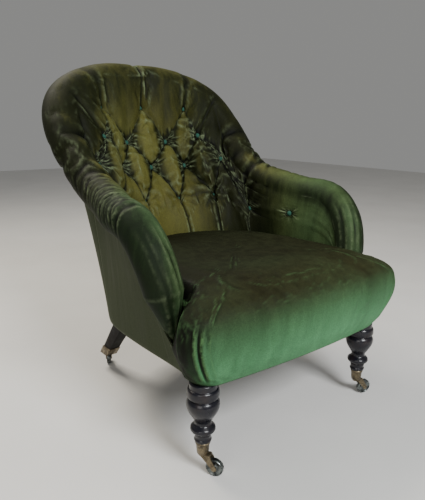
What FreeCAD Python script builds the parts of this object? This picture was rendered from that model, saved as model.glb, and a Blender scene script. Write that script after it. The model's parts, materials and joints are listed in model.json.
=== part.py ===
# Button back armchair: a low Victorian easy chair with a raked tub back, deep
# buttoned inside, a stuffed roll along its edge, a sprung seat, two turned front
# legs, two raked square back legs and four small brass castors.
# Lengths are in millimetres. The model is drawn about the line between the front
# leg axes: X to the sitter's left, Y to the back of the chair, Z up from the
# floor. place() then moves it, so that the origin is at the bottom centre.
# Left and right are the sitter's.
import FreeCAD, Part
import math
import os

V = FreeCAD.Vector
X_AXIS, Y_AXIS, Z_AXIS = V(1, 0, 0), V(0, 1, 0), V(0, 0, 1)

# Overall form, driving dimensions
leg_socket_end = 44.0         # underside of the leg sockets above the floor
rail_bottom = 208.0           # underside of the frame rails
rail_height = 42.0
rail_thickness = 28.0
frame_half_width = 262.0      # outside of the cloth at the foot of the side panels
leg_inset = 16.0              # front leg axes inside that cloth
front_rail_face = -22.0       # front face of the front rail
tub_back_foot = 524.0         # outside of the cloth at the foot of the back, mid chair
cross_rail_front = 405.0      # front face of the cross rail that carries the back legs
straight_side_end = 300.0     # where the straight side rail meets the bow rail
cloth_hem = 200.0             # lower edge of the cloth all round

# The stuffed roll along the top of the tub
back_height = 833.0           # top of the roll above the floor
back_roll_radius = 44.0
arm_roll_radius = 42.0
roll_tip_radius = 7.0
top_set_back = 668.0          # roll at mid back, behind the front legs
arm_height = 523.0            # top of the arm at its front
arm_front_lean = 35.0         # roll outside the hem at the arm's front
arm_front_set_back = 160.0
elbow_lean = -3.0             # and at the elbow
tub_middle = 250.0            # set back of a point inside the tub, which its inside faces

# Cloth, padding and iron
cover_thickness = 2.5
layer_gap = 0.4               # between layers that lie on each other
rod_radius = 5.0
rod_drop = 10.0               # rod below the middle of the roll
strap_width = 16.0
strap_thickness = 4.0
hessian_thickness = 1.2
button_radius = 7.0
button_height = 5.0
pit_half = 8.5                # half the flat at the bottom of a button's pit
pillow_height = 27.0          # crown of a tuft above its pleats
pleat_rise = 7.0              # a pleat's middle above its two buttons
tuft_length = 150.0           # length of a full tuft
arm_fill = 3.0                # swelling of the plain inside arm

# Seat
seat_height = 382.0           # crown of the seat above the floor
seat_front = -42.0            # cloth at the hem, mid front
seat_corner_stand = 6.0       # cloth at the hem beside the front legs, outside the side panels
seat_corner_radius = 44.0
seat_front_bow = 10.0         # how far the front edge bows out between its corners
seat_front_swell = 26.0       # how far the stuffed front bulges past its hem
seat_side_swell = 47.0        # the same at the sides of the ears
crown_set_back = 200.0        # middle of the seat's crown
seat_clearance = 3.0          # between the seat and the inside of the tub
ear_clearance = 8.0           # between the seat's ears and the cloth of the arms
tuft_lean = 0.6               # how steeply the tufts of the back lean out over the seat
# Levels of the seat: share of the way from hem to crown, share of the swell, and shrink
# towards the middle
seat_levels = [(0.093, 0.3, 1.0), (0.231, 0.62, 1.0), (0.440, 0.95, 1.0), (0.604, 1.0, 1.0), (0.742, 0.82, 1.0),
               (0.835, 0.42, 1.0), (0.912, -0.1, 0.97), (0.967, -0.3, 0.84), (1.0, -0.3, 0.5)]
# Backs of the ears: how far they swell past the hem, by share of the way from hem to crown
ear_shares = [0.0, 0.25, 0.63, 0.82, 1.0]
ear_swells = [0.0, 12.0, 12.0, -7.0, -10.0]
spring_canvas_height = 296.0  # canvas over the springs, above the floor
spring_canvas_slope = 34.0    # how far the canvas draws in from the rails
spring_canvas_thickness = 1.5
webbing_width = 50.0
webbing_thickness = 1.5
lining_thickness = 1.0
lining_inset = 3.0            # edge of the lining inside the cloth of the rails
tack_margin = 2.0             # ends of the webbing inside the rails' outer faces
spring_wire = 3.8
spring_turns = 4.0
spring_end_radius = 34.0
spring_waist_radius = 21.0
spring_half_spacing = 95.0
spring_rows = (85.0, 195.0, 305.0)

# Legs
leg_block = 36.0              # square top of a front leg, inside the frame
brace_arm = 44.0              # how far a corner brace runs along each rail
brace_height = 29.4
leg_bulb_radius = 33.0
leg_top_ring_radius = 31.5
leg_groove_radius = 27.5
leg_ring_radius = 25.0
leg_neck_radius = 16.5
leg_collar_radius = 17.5
# Turning of a front leg from its collar up: radius, and height above the socket's top
leg_turning = [
    (leg_collar_radius, 6), (leg_collar_radius - 1, 13), (leg_collar_radius, 19), (leg_ring_radius - 2, 24),
    (leg_ring_radius, 29), (leg_ring_radius - 2, 34), (leg_neck_radius, 40), (leg_neck_radius, 45),
    (leg_bulb_radius - 9, 58), (leg_bulb_radius - 2.5, 70), (leg_bulb_radius, 82), (leg_bulb_radius - 2, 91),
    (leg_groove_radius, 95), (leg_top_ring_radius, 101), (leg_top_ring_radius, 112), (leg_groove_radius, 117)]
back_leg_inset = 72.0         # back leg axes inside the cloth of the side panels
back_leg_top_set_back = 382.0
back_leg_rake = 132.0         # how far the foot stands behind the top
back_leg_width = 37.0
back_leg_depth = 46.0
back_leg_toe = 0.74           # foot of a back leg as a share of its top

# Castors
socket_height = 27.0
socket_floor = 3.0
socket_top_radius = 14.0
socket_end_radius = 11.5
socket_wall = 1.6
socket_clearance = 0.3
wheel_radius = 18.0
wheel_width = 11.0
wheel_bevel = 1.4
wheel_trail = 26.0
wheel_pin_radius = 2.5
swivel_pin_radius = 3.5
swivel_head_radius = 5.5
swivel_head_height = 2.0
running_clearance = 0.06
cheek_thickness = 2.6
cheek_clearance = 0.4
cheek_end_radius = 6.0
horn_thickness = 4.0
horn_clearance = 0.3
# Angle of each castor's trail about its upright pin, as the chair stands
castor_angles = {"front_right": -60.0, "front_left": -14.0, "back_right": 62.0, "back_left": 100.0}

# Fineness of the curved pieces: flats around, and stations along the tub
roll_pieces = 8
chain_pieces = (2, 4, 4, 3, 1)
arm_front_pieces = 12
lathe_sides = 26
socket_sides = 16
wheel_sides = 36
button_sides = 8
tuft_steps = [k * 0.125 for k in range(0, 21)]
arm_steps = [2.75, 3.0, 3.33, 3.66, 4.0, 4.25]
arm_front_steps = [4.12, 4.3, 4.45, 4.6, 4.75, 4.88, 5.0]
panel_end = 4.9               # station at which the outside cloth ends, by the roll's point
panel_steps = [4.5, 4.75, panel_end]
half_steps = tuft_steps + arm_steps
all_steps = [-u for u in reversed(half_steps[1:])] + half_steps

# Derived
leg_half_spacing = frame_half_width - leg_inset
back_leg_half_spacing = frame_half_width - back_leg_inset
arm_front_half = frame_half_width + arm_front_lean
elbow_half = frame_half_width + elbow_lean
seat_corner_half = frame_half_width + seat_corner_stand
rail_top = rail_bottom + rail_height
pad_foot_level = rail_top + layer_gap
block_half = leg_block / 2
block_inside = leg_half_spacing - block_half
side_rail_outside = frame_half_width - cover_thickness - layer_gap
side_rail_inside = side_rail_outside - rail_thickness
seat_level = pad_foot_level + 95.0   # height where the tufts of the back meet the seat


def spline(points, parameters):
    """Smooth curve through the points, with the given parameter at each."""
    curve = Part.BSplineCurve()
    curve.interpolate(Points=[V(*p) for p in points], Parameters=parameters)
    return curve


def mirrored(stations, points):
    """Left half added to the right half of a symmetric list of stations."""
    both = list(zip(stations, points))
    left = [(-u, (-p[0], p[1], p[2])) for u, p in reversed(both[1:])]
    return [u for u, _ in left + both], [p for _, p in left + both]


def between(a, b, share):
    return a + (b - a) * share


def unit(vector):
    return vector * (1.0 / vector.Length)


# Tub: middle line of the roll by station, from mid back (0) to the arm's foot (5)
roll_stations = [0, 1, 1.5, 2, 2.5, 3, 3.5, 4, 4.4, 4.7, 5]
roll_points = [
    (0, top_set_back, back_height - back_roll_radius),
    (elbow_half - 109, top_set_back - 22, back_height - back_roll_radius - 20),
    (elbow_half - 21, top_set_back - 56, between(arm_height, back_height, 0.639)),
    (elbow_half + 7, top_set_back - 136, between(arm_height, back_height, 0.326)),
    (elbow_half, top_set_back - 246, arm_height + 11),
    (elbow_half + 11, arm_front_set_back + 158, arm_height - 17),
    (arm_front_half - 7, arm_front_set_back + 72, arm_height - 32),
    (arm_front_half, arm_front_set_back, arm_height - arm_roll_radius),
    (arm_front_half - 6, arm_front_set_back - 54, arm_height - 91),
    (between(arm_front_half, frame_half_width, 0.5), arm_front_set_back - 78, arm_height - 163),
    (frame_half_width, arm_front_set_back - 76, pad_foot_level + roll_tip_radius + 2),
]
roll_line = spline(*reversed(mirrored(roll_stations, roll_points)))
roll_radii = [back_roll_radius, back_roll_radius, back_roll_radius - 1] + [arm_roll_radius] * 5
roll_radii += [arm_roll_radius, arm_roll_radius - 2, roll_tip_radius]

# Foot of the tub: outside of the cloth, and inside face of the padding
foot_stations = [0, 1, 1.5, 2, 2.5, 3, 4, 5]
outer_foot = spline(*reversed(mirrored(foot_stations, [
    (0, tub_back_foot, cloth_hem), (frame_half_width - 150, tub_back_foot - 17, cloth_hem),
    (frame_half_width - 94, tub_back_foot - 47, cloth_hem), (frame_half_width - 46, tub_back_foot - 92, cloth_hem),
    (frame_half_width - 12, tub_back_foot - 149, cloth_hem), (frame_half_width, straight_side_end, cloth_hem),
    (frame_half_width, arm_front_set_back - 10, cloth_hem), (frame_half_width, block_half + 16, cloth_hem)])))
inner_foot_stations = [0, 0.5, 1, 1.5, 2, 2.5, 3, 4, 4.4, 4.7, 5]
inner_foot_plan = [
    (0, tub_back_foot - 77), (frame_half_width - 202, tub_back_foot - 83),
    (frame_half_width - 157, tub_back_foot - 96), (frame_half_width - 117, tub_back_foot - 116),
    (frame_half_width - 79, tub_back_foot - 144), (frame_half_width - 50, tub_back_foot - 179),
    (frame_half_width - 33, straight_side_end - 10), (frame_half_width - 30, arm_front_set_back - 5),
    (frame_half_width - 26, arm_front_set_back - 54), (frame_half_width - 17, arm_front_set_back - 70),
    (frame_half_width - 6, arm_front_set_back - 76)]
inner_foot = spline(*reversed(mirrored(inner_foot_stations, [(x, y, pad_foot_level) for x, y in inner_foot_plan])))
seat_join_plan = [
    (0, tub_back_foot - 46), (frame_half_width - 196, tub_back_foot - 56),
    (frame_half_width - 150, tub_back_foot - 72), (frame_half_width - 112, tub_back_foot - 94),
    (frame_half_width - 72, tub_back_foot - 124), (frame_half_width - 46, tub_back_foot - 158)]
seat_join = spline(*reversed(mirrored([0, 0.5, 1, 1.5, 2, 2.5], [(x, y, seat_level) for x, y in seat_join_plan])))

# Buttons of the inside back, by row and station: share of the way down from the roll to
# the foot, depth of the pit behind the straight line between them, and shift to mid back
button_rows = {
    "top": {0: (0.131, 36.8, 0.0), 1: (0.102, 28.6, 10.2)},
    "second": {0.5: (0.299, 40.5, 1.4), 1.5: (0.197, -11.9, 50.4)},
    "third": {0: (0.435, 35.7, 0.0), 1: (0.413, 26.6, 31.3), 2: (0.161, -12.2, 12.9)},
    "bottom": {0.5: (0.612, 12.0, 5.3), 1.5: (0.559, -13.9, 15.4), 2.5: (0.359, 2.0, -8.3)},
}
arm_button_station = 3.3
arm_button = (0.239, -1.6, -3.7)
arm_shares = (0.12, 0.24, 0.36, 0.66)   # inner points of the plain arm, from roll to foot


def table_value(stations, values, u):
    """Straight-line value between the stations of a table."""
    u = abs(u)
    for k in range(len(stations) - 1):
        if u <= stations[k + 1]:
            share = (u - stations[k]) / (stations[k + 1] - stations[k])
            return values[k] + (values[k + 1] - values[k]) * share
    return values[-1]


def roll_frame(u):
    """Middle of the roll, its radius, and its outward and upward directions."""
    centre = roll_line.value(u)
    radius = table_value(roll_stations, roll_radii, u)
    along = V(*roll_line.tangent(u)[0])
    foot = outer_foot.value(u)
    hub = V(foot.x * 0.97, foot.y + 60 * max(0.0, abs(u) - 4), foot.z)
    up = centre - hub
    up = unit(up - along * up.dot(along))
    out = unit(along.cross(up))
    if out.dot(V(centre.x, centre.y - tub_middle, 0)) < 0:
        out = out * -1.0
    return centre, radius, out, up


def on_roll(u, degrees, inset=0.0):
    """Point of the roll's skin; 0 is outward, 90 is the crest."""
    centre, radius, out, up = roll_frame(u)
    angle = math.radians(degrees)
    return centre + (out * math.cos(angle) + up * math.sin(angle)) * (radius - inset)


def mirror_point(p, u):
    return V(-p[0], p[1], p[2]) if u < 0 else V(*p)


# By station: where the outside cloth is sewn under the roll, in degrees below its
# outward direction, and how far out the iron rod lies from the middle of the roll
seam_angles = [-42, -52, -85, -105, -95, -80, -80, -80, -80, -80, -80]
rod_set_out = [14, 11, 0, -9, -5, -2, -2, -2, -2, -2, -2]
roll_inner_angle = 188.0
# Down the arm's front the seam runs behind the roll, and round its point at the foot:
# by station, its angle in plan from straight out towards the back
arm_seam_stations = [4.4, 4.7, 5]
arm_seam_angles = [70, 70, 0]


def inward_of(a, b, u):
    """Normal of the pad's face at a station, towards the sitter."""
    across = V(*outer_foot.tangent(u)[0])
    normal = unit(unit(b - a).cross(across))
    to_sitter = V(0, tub_middle, 0) - V(a.x, a.y, 0)
    return normal if normal.dot(to_sitter) > 0 else normal * -1.0


def button_point(station, place):
    """Deepest point of a button's pit, on the left half."""
    share, depth, shift = place
    top = on_roll(station, roll_inner_angle)
    foot = inner_foot.value(station)
    down = unit(foot - top)
    inward = inward_of(top, foot, station)
    return between(top, foot, share) - inward * depth + down.cross(inward) * shift


button_points = {row: {station: button_point(station, place) for station, place in places.items()}
                 for row, places in button_rows.items()}


def pleat_point(rows, u, fallback):
    """Point on the zigzag pleat line that joins the buttons of two rows."""
    side = abs(u)
    low = math.floor(side * 2) / 2
    ends = []
    for s in (low, low + 0.5):
        found = [button_points[r][s] for r in rows if s in button_points[r]]
        ends.append(mirror_point(found[0], u) if found else fallback(math.copysign(s, u) if s else 0.0))
    share = (side - low) * 2
    return between(ends[0], ends[1], share), 4 * share * (1 - share)


def by_roll(share):
    return lambda s: between(on_roll(s, roll_inner_angle), inner_foot.value(s), share)


def tuft_rises(points):
    """Rise of the tuft between each two points, by the distance it spans."""
    rises = []
    for a, b in zip(points[:-1], points[1:]):
        share = max(0.0, ((b - a).Length - 2 * pit_half) / tuft_length)
        rises.append(pillow_height * min(1.0, share) ** 0.55)
    rises[0] = min(rises[0], pillow_height / 3)
    rises[-1] = 0.0
    return rises


def pad_chain(u):
    """Inside face of the pad at a station, from the roll down to its foot:
    points, and the rise of the tuft that bulges between each two of them."""
    top = on_roll(u, roll_inner_angle)
    foot = inner_foot.value(u)
    side = abs(u)
    if side > 2.5:
        points = [top] + [between(top, foot, share) for share in arm_shares] + [foot]
        plain = min(1.0, (side - 2.5) * 2)
        fill = [0.0, arm_fill, arm_fill, arm_fill / 2, 0.0]
        return points, [a * (1 - plain) + b * plain for a, b in zip(tuft_rises(points), fill)]
    level = seat_join.value(u)
    first, rise_1 = pleat_point(("top", "second"), u, by_roll(arm_shares[0]))
    second, rise_2 = pleat_point(("second", "third"), u, by_roll(arm_shares[1]))
    third, rise_3 = pleat_point(("third", "bottom"), u, by_roll(arm_shares[2]))
    down = unit(level - top)
    inward = inward_of(top, level, u)
    # Each pit keeps a flat floor between the pleats that leave it
    from_button = abs(side * 2 - round(side * 2))
    spread = down * (pit_half * max(0.0, 1 - 4 * from_button))
    if round(side * 2) % 2 == 1:
        first, second = first - spread, second + spread
    else:
        second, third = second - spread, third + spread
    first += inward * pleat_rise * rise_1
    second += inward * pleat_rise * rise_2
    third += inward * pleat_rise * rise_3
    points = [top, first, second, third, level, foot]
    return points, tuft_rises(points)


def swelled(a, b, rise, pieces):
    """Points after a, up to and with b, on a shallow swelling between them."""
    shares = [k / pieces for k in range(1, pieces + 1)]
    return [between(a, b, s) + rise * (4 * s * (1 - s)) for s in shares]


def rod_centre(u):
    centre, radius, out, up = roll_frame(u)
    set_out = table_value(roll_stations, rod_set_out, u)
    return centre + (out * set_out - up * rod_drop) * (radius / arm_roll_radius)


def rod_foot(u):
    """Where an upright of the iron frame stands on the rail."""
    foot = outer_foot.value(u)
    across = unit(V(*outer_foot.tangent(u)[0]))
    out = unit(V(across.y, -across.x, 0))
    if out.dot(V(foot.x, foot.y - tub_middle, 0)) < 0:
        out = out * -1.0
    inset = cover_thickness + layer_gap + 8.0
    return V(foot.x, foot.y, rail_top) - out * inset, out


def pad_section(u):
    """Closed outline of the pad at a station, inside face first."""
    chain, rises = pad_chain(u)
    points = [chain[0]]
    for a, b, rise, pieces in zip(chain[:-1], chain[1:], rises, chain_pieces):
        points += swelled(a, b, inward_of(a, b, u) * rise, pieces)
    hollow = rod_radius + hessian_thickness + 2 * layer_gap
    centre, radius, out, up = roll_frame(u)
    rod = rod_centre(u)
    stand, plan_out = rod_foot(u)
    stand = V(stand.x, stand.y, pad_foot_level)
    seam_angle = table_value(roll_stations, seam_angles, u)
    seam = on_roll(u, seam_angle)
    points += [stand - plan_out * hollow, rod + (up - out) * hollow, rod + (out + up) * hollow,
               rod + out * hollow - up * 2 * hollow]
    sweep = roll_inner_angle - seam_angle
    points += [on_roll(u, seam_angle + sweep * k / roll_pieces) for k in range(roll_pieces)]
    return points


def solid_of(points, facets):
    """Closed solid of flat facets, its outside outward."""
    signed = sum(points[a].dot(points[b].cross(points[c])) for a, b, c in facets)
    if signed < 0:
        facets = [(a, c, b) for a, b, c in facets]
    shape = Part.Shape()
    shape.makeShapeFromMesh((points, facets), 0.001)
    return Part.makeSolid(shape)


def end_facets(outline):
    """Flat end of an outline: its corners are clipped off one by one."""
    normal = V(0, 0, 0)
    for a, b in zip(outline, outline[1:] + outline[:1]):
        normal += a.cross(b)

    def turn(a, b, c):
        return (outline[b] - outline[a]).cross(outline[c] - outline[b]).dot(normal)
    left = list(range(len(outline)))
    facets = []
    while len(left) > 3:
        for k in range(len(left)):
            a, b, c = left[k - 1], left[k], left[(k + 1) % len(left)]
            others = [p for p in left if p not in (a, b, c)]
            inside = [p for p in others if min(turn(a, b, p), turn(b, c, p), turn(c, a, p)) >= 0]
            if turn(a, b, c) > 0 and not inside:
                break
        facets.append((a, b, c))
        left.remove(b)
    return facets + [tuple(left)]


def faceted_loft(sections, even=False):
    """Closed solid of flat facets through closed outlines of as many points each.
    The facets' diagonals all run alike when even, else along the shorter way."""
    count = len(sections[0])
    points = [p for section in sections for p in section]
    facets = []
    for k in range(len(sections) - 1):
        for i in range(count):
            j = (i + 1) % count
            a, b = k * count + i, k * count + j
            c, d = b + count, a + count
            diagonal_1 = (points[a] - points[c]).Length
            diagonal_2 = (points[b] - points[d]).Length
            if even or diagonal_1 < diagonal_2:
                facets += [(a, b, c), (a, c, d)]
            else:
                facets += [(a, b, d), (b, c, d)]
    last = len(points) - count
    facets += [(c, b, a) for a, b, c in end_facets(sections[0])]
    facets += [(last + a, last + b, last + c) for a, b, c in end_facets(sections[-1])]
    return solid_of(points, facets)


def circle_points(centre, across, up, radius, sides):
    """Corners of a regular polygon about a centre."""
    ring = []
    for k in range(sides):
        angle = 2 * math.pi * k / sides
        ring.append(centre + (across * math.cos(angle) + up * math.sin(angle)) * radius)
    return ring


def turned(profile, sides):
    """Lathe work: one ring of flats for each (radius, height) of the profile."""
    return faceted_loft([circle_points(V(0, 0, z), X_AXIS, Y_AXIS, r, sides) for r, z in profile])


def steps_within(low, high):
    return [u for u in all_steps if low <= u <= high]


def box(x0, x1, y0, y1, z0, z1):
    return Part.makeBox(x1 - x0, y1 - y0, z1 - z0, V(x0, y0, z0))


def largest(shape):
    return max(shape.Solids, key=lambda solid: solid.Volume)


def both_sides(shape):
    return [shape, shape.mirror(V(0, 0, 0), X_AXIS)]


def group(shapes):
    return Part.Compound(shapes)


# Wooden frame
def front_rail():
    return box(-block_inside, block_inside, front_rail_face,
               front_rail_face + rail_thickness, rail_bottom, rail_top)


def side_rail():
    return box(side_rail_inside, side_rail_outside, block_half, straight_side_end,
               rail_bottom, rail_top)


def bow_ring(u, inset):
    """Upright section of the bow rail at a station."""
    foot = outer_foot.value(u)
    out = rod_foot(u)[1]
    near = V(foot.x, foot.y, rail_bottom) - out * inset
    far = near - out * rail_thickness
    lift = V(0, 0, rail_height)
    return [near, near + lift, far + lift, far]


def bow_rail():
    inset = cover_thickness + layer_gap
    bow = faceted_loft([bow_ring(u, inset) for u in steps_within(-3.0, 3.0)])
    wide = 2 * frame_half_width
    return bow.cut(box(-wide, wide, 0, straight_side_end, rail_bottom - 1, rail_top + 1))


def cross_rail(bow):
    rail = box(-side_rail_outside, side_rail_outside, cross_rail_front,
               cross_rail_front + rail_thickness, rail_bottom, rail_top)
    return largest(rail.cut(bow))


def corner_brace():
    corner = V(block_inside, front_rail_face + rail_thickness, rail_bottom + layer_gap)
    points = [corner, corner - V(brace_arm, 0, 0), V(side_rail_inside, block_half + brace_arm, corner.z),
              V(side_rail_inside, block_half, corner.z), V(block_inside, block_half, corner.z)]
    face = Part.Face(Part.makePolygon(points + points[:1]))
    return face.extrude(V(0, 0, brace_height))


def front_leg():
    """Turned leg: dowel in the socket, collar, ring, neck, vase, groove and top ring."""
    base = leg_socket_end
    cup = base + socket_floor + horn_clearance + swivel_head_height + horn_clearance
    top_cup = base + socket_height
    dowel_end = socket_radius(cup) - socket_wall - socket_clearance
    dowel_top = socket_radius(top_cup) - socket_wall - socket_clearance
    profile = [(dowel_end, cup), (dowel_top, top_cup + layer_gap), (leg_collar_radius - 2, top_cup + layer_gap)]
    profile += [(radius, top_cup + height) for radius, height in leg_turning]
    profile.append((leg_groove_radius, cloth_hem - layer_gap))
    block = box(-block_half, block_half, -block_half, block_half, cloth_hem - layer_gap, rail_top)
    leg = turned(profile, lathe_sides).fuse(block)
    leg.translate(V(leg_half_spacing, 0, 0))
    return leg


def socket_radius(level):
    """Outside of a front leg's socket at a level."""
    share = (level - leg_socket_end) / socket_height
    return socket_end_radius + (socket_top_radius - socket_end_radius) * share


def front_socket():
    base = leg_socket_end
    floor, top = base + socket_floor, base + socket_height
    lip = top - socket_height / 9
    outside = [(socket_end_radius, base), (socket_radius(lip), lip), (socket_top_radius + 1, lip + 1),
               (socket_top_radius + 1, top)]
    inside = [(socket_radius(floor) - socket_wall, floor), (socket_radius(top) - socket_wall, top)]
    cup = turned(outside, socket_sides)
    pocket = turned(inside, socket_sides)
    hole = Part.makeCylinder(swivel_pin_radius + running_clearance, socket_floor + 2, V(0, 0, base - 1))
    socket = cup.cut(pocket).cut(hole)
    socket.translate(V(leg_half_spacing, 0, 0))
    return socket


def leg_slice(level, grow=0.0):
    """Square outline of a back leg at a level, grown all round."""
    drop = (rail_bottom - level) / (rail_bottom - leg_socket_end)
    share = 1 - (1 - back_leg_toe) * drop
    x = back_leg_half_spacing
    y = back_leg_top_set_back + back_leg_rake * drop
    half_x = back_leg_width / 2 * share + grow
    half_y = back_leg_depth / 2 * share + grow
    corners = [V(x - half_x, y - half_y, level), V(x + half_x, y - half_y, level),
               V(x + half_x, y + half_y, level), V(x - half_x, y + half_y, level)]
    return corners


def back_leg(bow):
    cup = leg_socket_end + socket_floor + horn_clearance + swivel_head_height + horn_clearance
    leg = faceted_loft([leg_slice(rail_bottom), leg_slice(cup)])
    x, y = back_leg_half_spacing, back_leg_top_set_back
    top = box(x - back_leg_width / 2, x + back_leg_width / 2, y - back_leg_depth / 2,
              cross_rail_front, rail_bottom, rail_top)
    return leg.fuse(top.cut(bow))


def back_socket():
    base = leg_socket_end
    floor, top = base + socket_floor, base + socket_height
    outside = socket_clearance + socket_wall
    cup = faceted_loft([leg_slice(base, outside), leg_slice(top, outside)])
    pocket = faceted_loft([leg_slice(floor, socket_clearance), leg_slice(top + 1, socket_clearance)])
    x, y = castor_pin("back_left")
    hole = Part.makeCylinder(swivel_pin_radius + running_clearance, socket_floor + 2, V(x, y, base - 1))
    return cup.cut(pocket).cut(hole)


# Castors, drawn with the pin at the origin and the trail along X
def castor_pin(name):
    side = 1 if name.endswith("left") else -1
    if name.startswith("front"):
        return side * leg_half_spacing, 0.0
    return side * back_leg_half_spacing, back_leg_top_set_back + back_leg_rake


def wheel_spot(name):
    x, y = castor_pin(name)
    angle = math.radians(castor_angles[name])
    return x + wheel_trail * math.cos(angle), y + wheel_trail * math.sin(angle)


def set_castor(shape, name):
    x, y = castor_pin(name)
    shape = shape.copy()
    shape.rotate(V(0, 0, 0), Z_AXIS, castor_angles[name])
    shape.translate(V(x, y, 0))
    return shape


def horn():
    top = leg_socket_end - horn_clearance
    under = top - horn_thickness
    inside = wheel_width / 2 + cheek_clearance
    half = inside + cheek_thickness
    reach = wheel_trail - wheel_radius / 2
    bow = circle_points(V(0, 0, under), Y_AXIS, X_AXIS * -1.0, half, 12)[:7]
    outline = [V(reach, half, under)] + bow + [V(reach, -half, under)]
    plate = Part.Face(Part.makePolygon(outline + outline[:1])).extrude(V(0, 0, horn_thickness))
    z = under + horn_thickness / 2
    axle = V(wheel_trail, 0, wheel_radius)
    end = circle_points(axle, X_AXIS, Z_AXIS * -1.0, cheek_end_radius, 12)[:7]
    outline = [V(-half / 3, 0, z), V(reach, 0, z)] + end
    face = Part.Face(Part.makePolygon(outline + outline[:1]))
    cheeks = [face.translated(V(0, y, 0)).extrude(V(0, cheek_thickness, 0)) for y in (inside, -half)]
    pin_top = leg_socket_end + socket_floor + horn_clearance
    pin = Part.makeCylinder(swivel_pin_radius, pin_top - under, V(0, 0, under))
    head = turned([(swivel_head_radius, pin_top), (swivel_head_radius, pin_top + swivel_head_height)], 12)
    axle_pin = Part.makeCylinder(wheel_pin_radius, 2 * half, axle - V(0, half, 0), Y_AXIS)
    return plate.multiFuse(cheeks + [pin, head, axle_pin]).removeSplitter()


def wheel():
    half = wheel_width / 2
    bore = wheel_pin_radius + running_clearance
    axle = V(wheel_trail, 0, wheel_radius)
    shoulder = wheel_radius - wheel_bevel
    profile = [(shoulder, -half), (wheel_radius, wheel_bevel - half), (wheel_radius, half - wheel_bevel),
               (shoulder, half)]
    disc = turned(profile, wheel_sides)
    disc.rotate(V(0, 0, 0), X_AXIS, -90)
    disc.translate(axle)
    return disc.cut(Part.makeCylinder(bore, wheel_width + 2, axle - V(0, half + 1, 0), Y_AXIS))


# Iron frame of the tub: a bent rod along the roll, and straps up to it from the rails
def rod_ring(u):
    centre, radius, out, up = roll_frame(u)
    return circle_points(rod_centre(u), out, up, rod_radius, 6)


def iron_rim():
    return faceted_loft([rod_ring(u) for u in steps_within(-4.0, 4.0)])


def iron_strap(u):
    foot, out = rod_foot(u)
    head = rod_centre(u)
    across = unit(V(*outer_foot.tangent(u)[0])) * (strap_width / 2)
    depth = out * (strap_thickness / 2)
    rings = []
    for end in (foot, head):
        rings.append([end - across - depth, end + across - depth, end + across + depth, end - across + depth])
    return faceted_loft(rings)


def back_hessian():
    """Canvas between the iron frame and the padding."""
    near = rod_radius + layer_gap
    far = near + hessian_thickness
    sections = []
    for u in steps_within(-4.0, 4.0):
        out = roll_frame(u)[2]
        rod = rod_centre(u)
        stand, plan_out = rod_foot(u)
        stand = V(stand.x, stand.y, pad_foot_level)
        sections.append([stand - plan_out * near, rod - out * near, rod - out * far, stand - plan_out * far])
    return faceted_loft(sections)


def arm_front():
    """Stuffed roll down the front of an arm, tapered to a point at the rail."""
    turn = 360 / arm_front_pieces
    return faceted_loft([[on_roll(u, turn * k) for k in range(arm_front_pieces)] for u in arm_front_steps])


def seam_point(u):
    """Where the outside cloth is sewn to the roll, behind it down the arm's front."""
    if u <= 4.4:
        return on_roll(u, table_value(roll_stations, seam_angles, u))
    centre, radius, out, up = roll_frame(u)
    rear = math.radians(table_value(arm_seam_stations, arm_seam_angles, u))
    return centre + V(math.cos(rear), math.sin(rear), 0) * radius


def outside_panel(steps):
    """Plain cloth of the outside, from the hem up to the seam under the roll."""
    sections = []
    for u in steps:
        at_hem = u if u < 4 else between(4, 5, (u - 4) / (panel_end - 4))
        hem = outer_foot.value(at_hem)
        seam = seam_point(u)
        top = seam + unit(hem - seam) * layer_gap
        inward = rod_foot(at_hem)[1] * -cover_thickness
        sections.append([hem, top, top + inward, hem + inward])
    return faceted_loft(sections)


def button_seats():
    """Place and direction, towards the sitter, of every button."""
    seats = []
    for row in button_points.values():
        for station, point in row.items():
            for u in sorted({station, -station}):
                chain = pad_chain(u)[0]
                seats.append((mirror_point(point, u), inward_of(chain[0], chain[4], u)))
    for u in (-arm_button_station, arm_button_station):
        chain = pad_chain(u)[0]
        point = button_point(arm_button_station, arm_button)
        seats.append((mirror_point(point, u), inward_of(chain[0], chain[4], u)))
    return seats


def button(seat, direction):
    """Covered button: a rim and a shallow dome."""
    side = unit(direction.cross(Z_AXIS))
    other = unit(direction.cross(side))
    rings = []
    for radius, height in ((1.0, 0.0), (1.0, 0.4), (0.6, 1.0)):
        centre = seat + direction * (layer_gap + button_height * height)
        rings.append(circle_points(centre, side, other, button_radius * radius, button_sides))
    return faceted_loft(rings)


def pit_cutter(seat, direction):
    """Eight-sided well that keeps the tufts off a button."""
    side = unit(direction.cross(Z_AXIS))
    other = unit(direction.cross(side))
    reach = (button_radius + layer_gap) / math.cos(math.pi / 8)
    ring = circle_points(seat, side, other, reach, 8)
    return Part.Face(Part.makePolygon(ring + ring[:1])).extrude(direction * 2 * pillow_height)


# Seat
back_stations = (3.6, 3.0, 2.5, 2.0, 1.5, 1.0, 0.5, 0.0)


def pad_face(u, level):
    """Inside face of the tub at a station and level."""
    top = seat_join.value(u) if u <= 2.5 else on_roll(u, roll_inner_angle)
    foot = inner_foot.value(u)
    share = min(1.0, max(0.0, (level - foot.z) / (top.z - foot.z)))
    point = between(foot, top, share)
    return V(point.x, point.y, level)


def back_edge(level, inset):
    """Edge of the seat along the inside of the tub, from the arm to mid back."""
    points = []
    clear = seat_clearance + inset + tuft_lean * max(0.0, level - seat_level)
    for u in back_stations:
        out = rod_foot(u)[1]
        points.append(pad_face(u, level) - out * clear)
    return points


def ear_back(level):
    """Back of the seat's ear at a level: along the side panel, then up the arm's front."""
    arm_front = roll_points[-2][1] - roll_radii[-2]
    tip = roll_points[-1][1] - 2 * roll_tip_radius
    hem = outer_foot.value(5).y
    return table_value([cloth_hem, rail_top, roll_points[-2][2]], [hem, tip, arm_front], level) - ear_clearance


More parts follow.
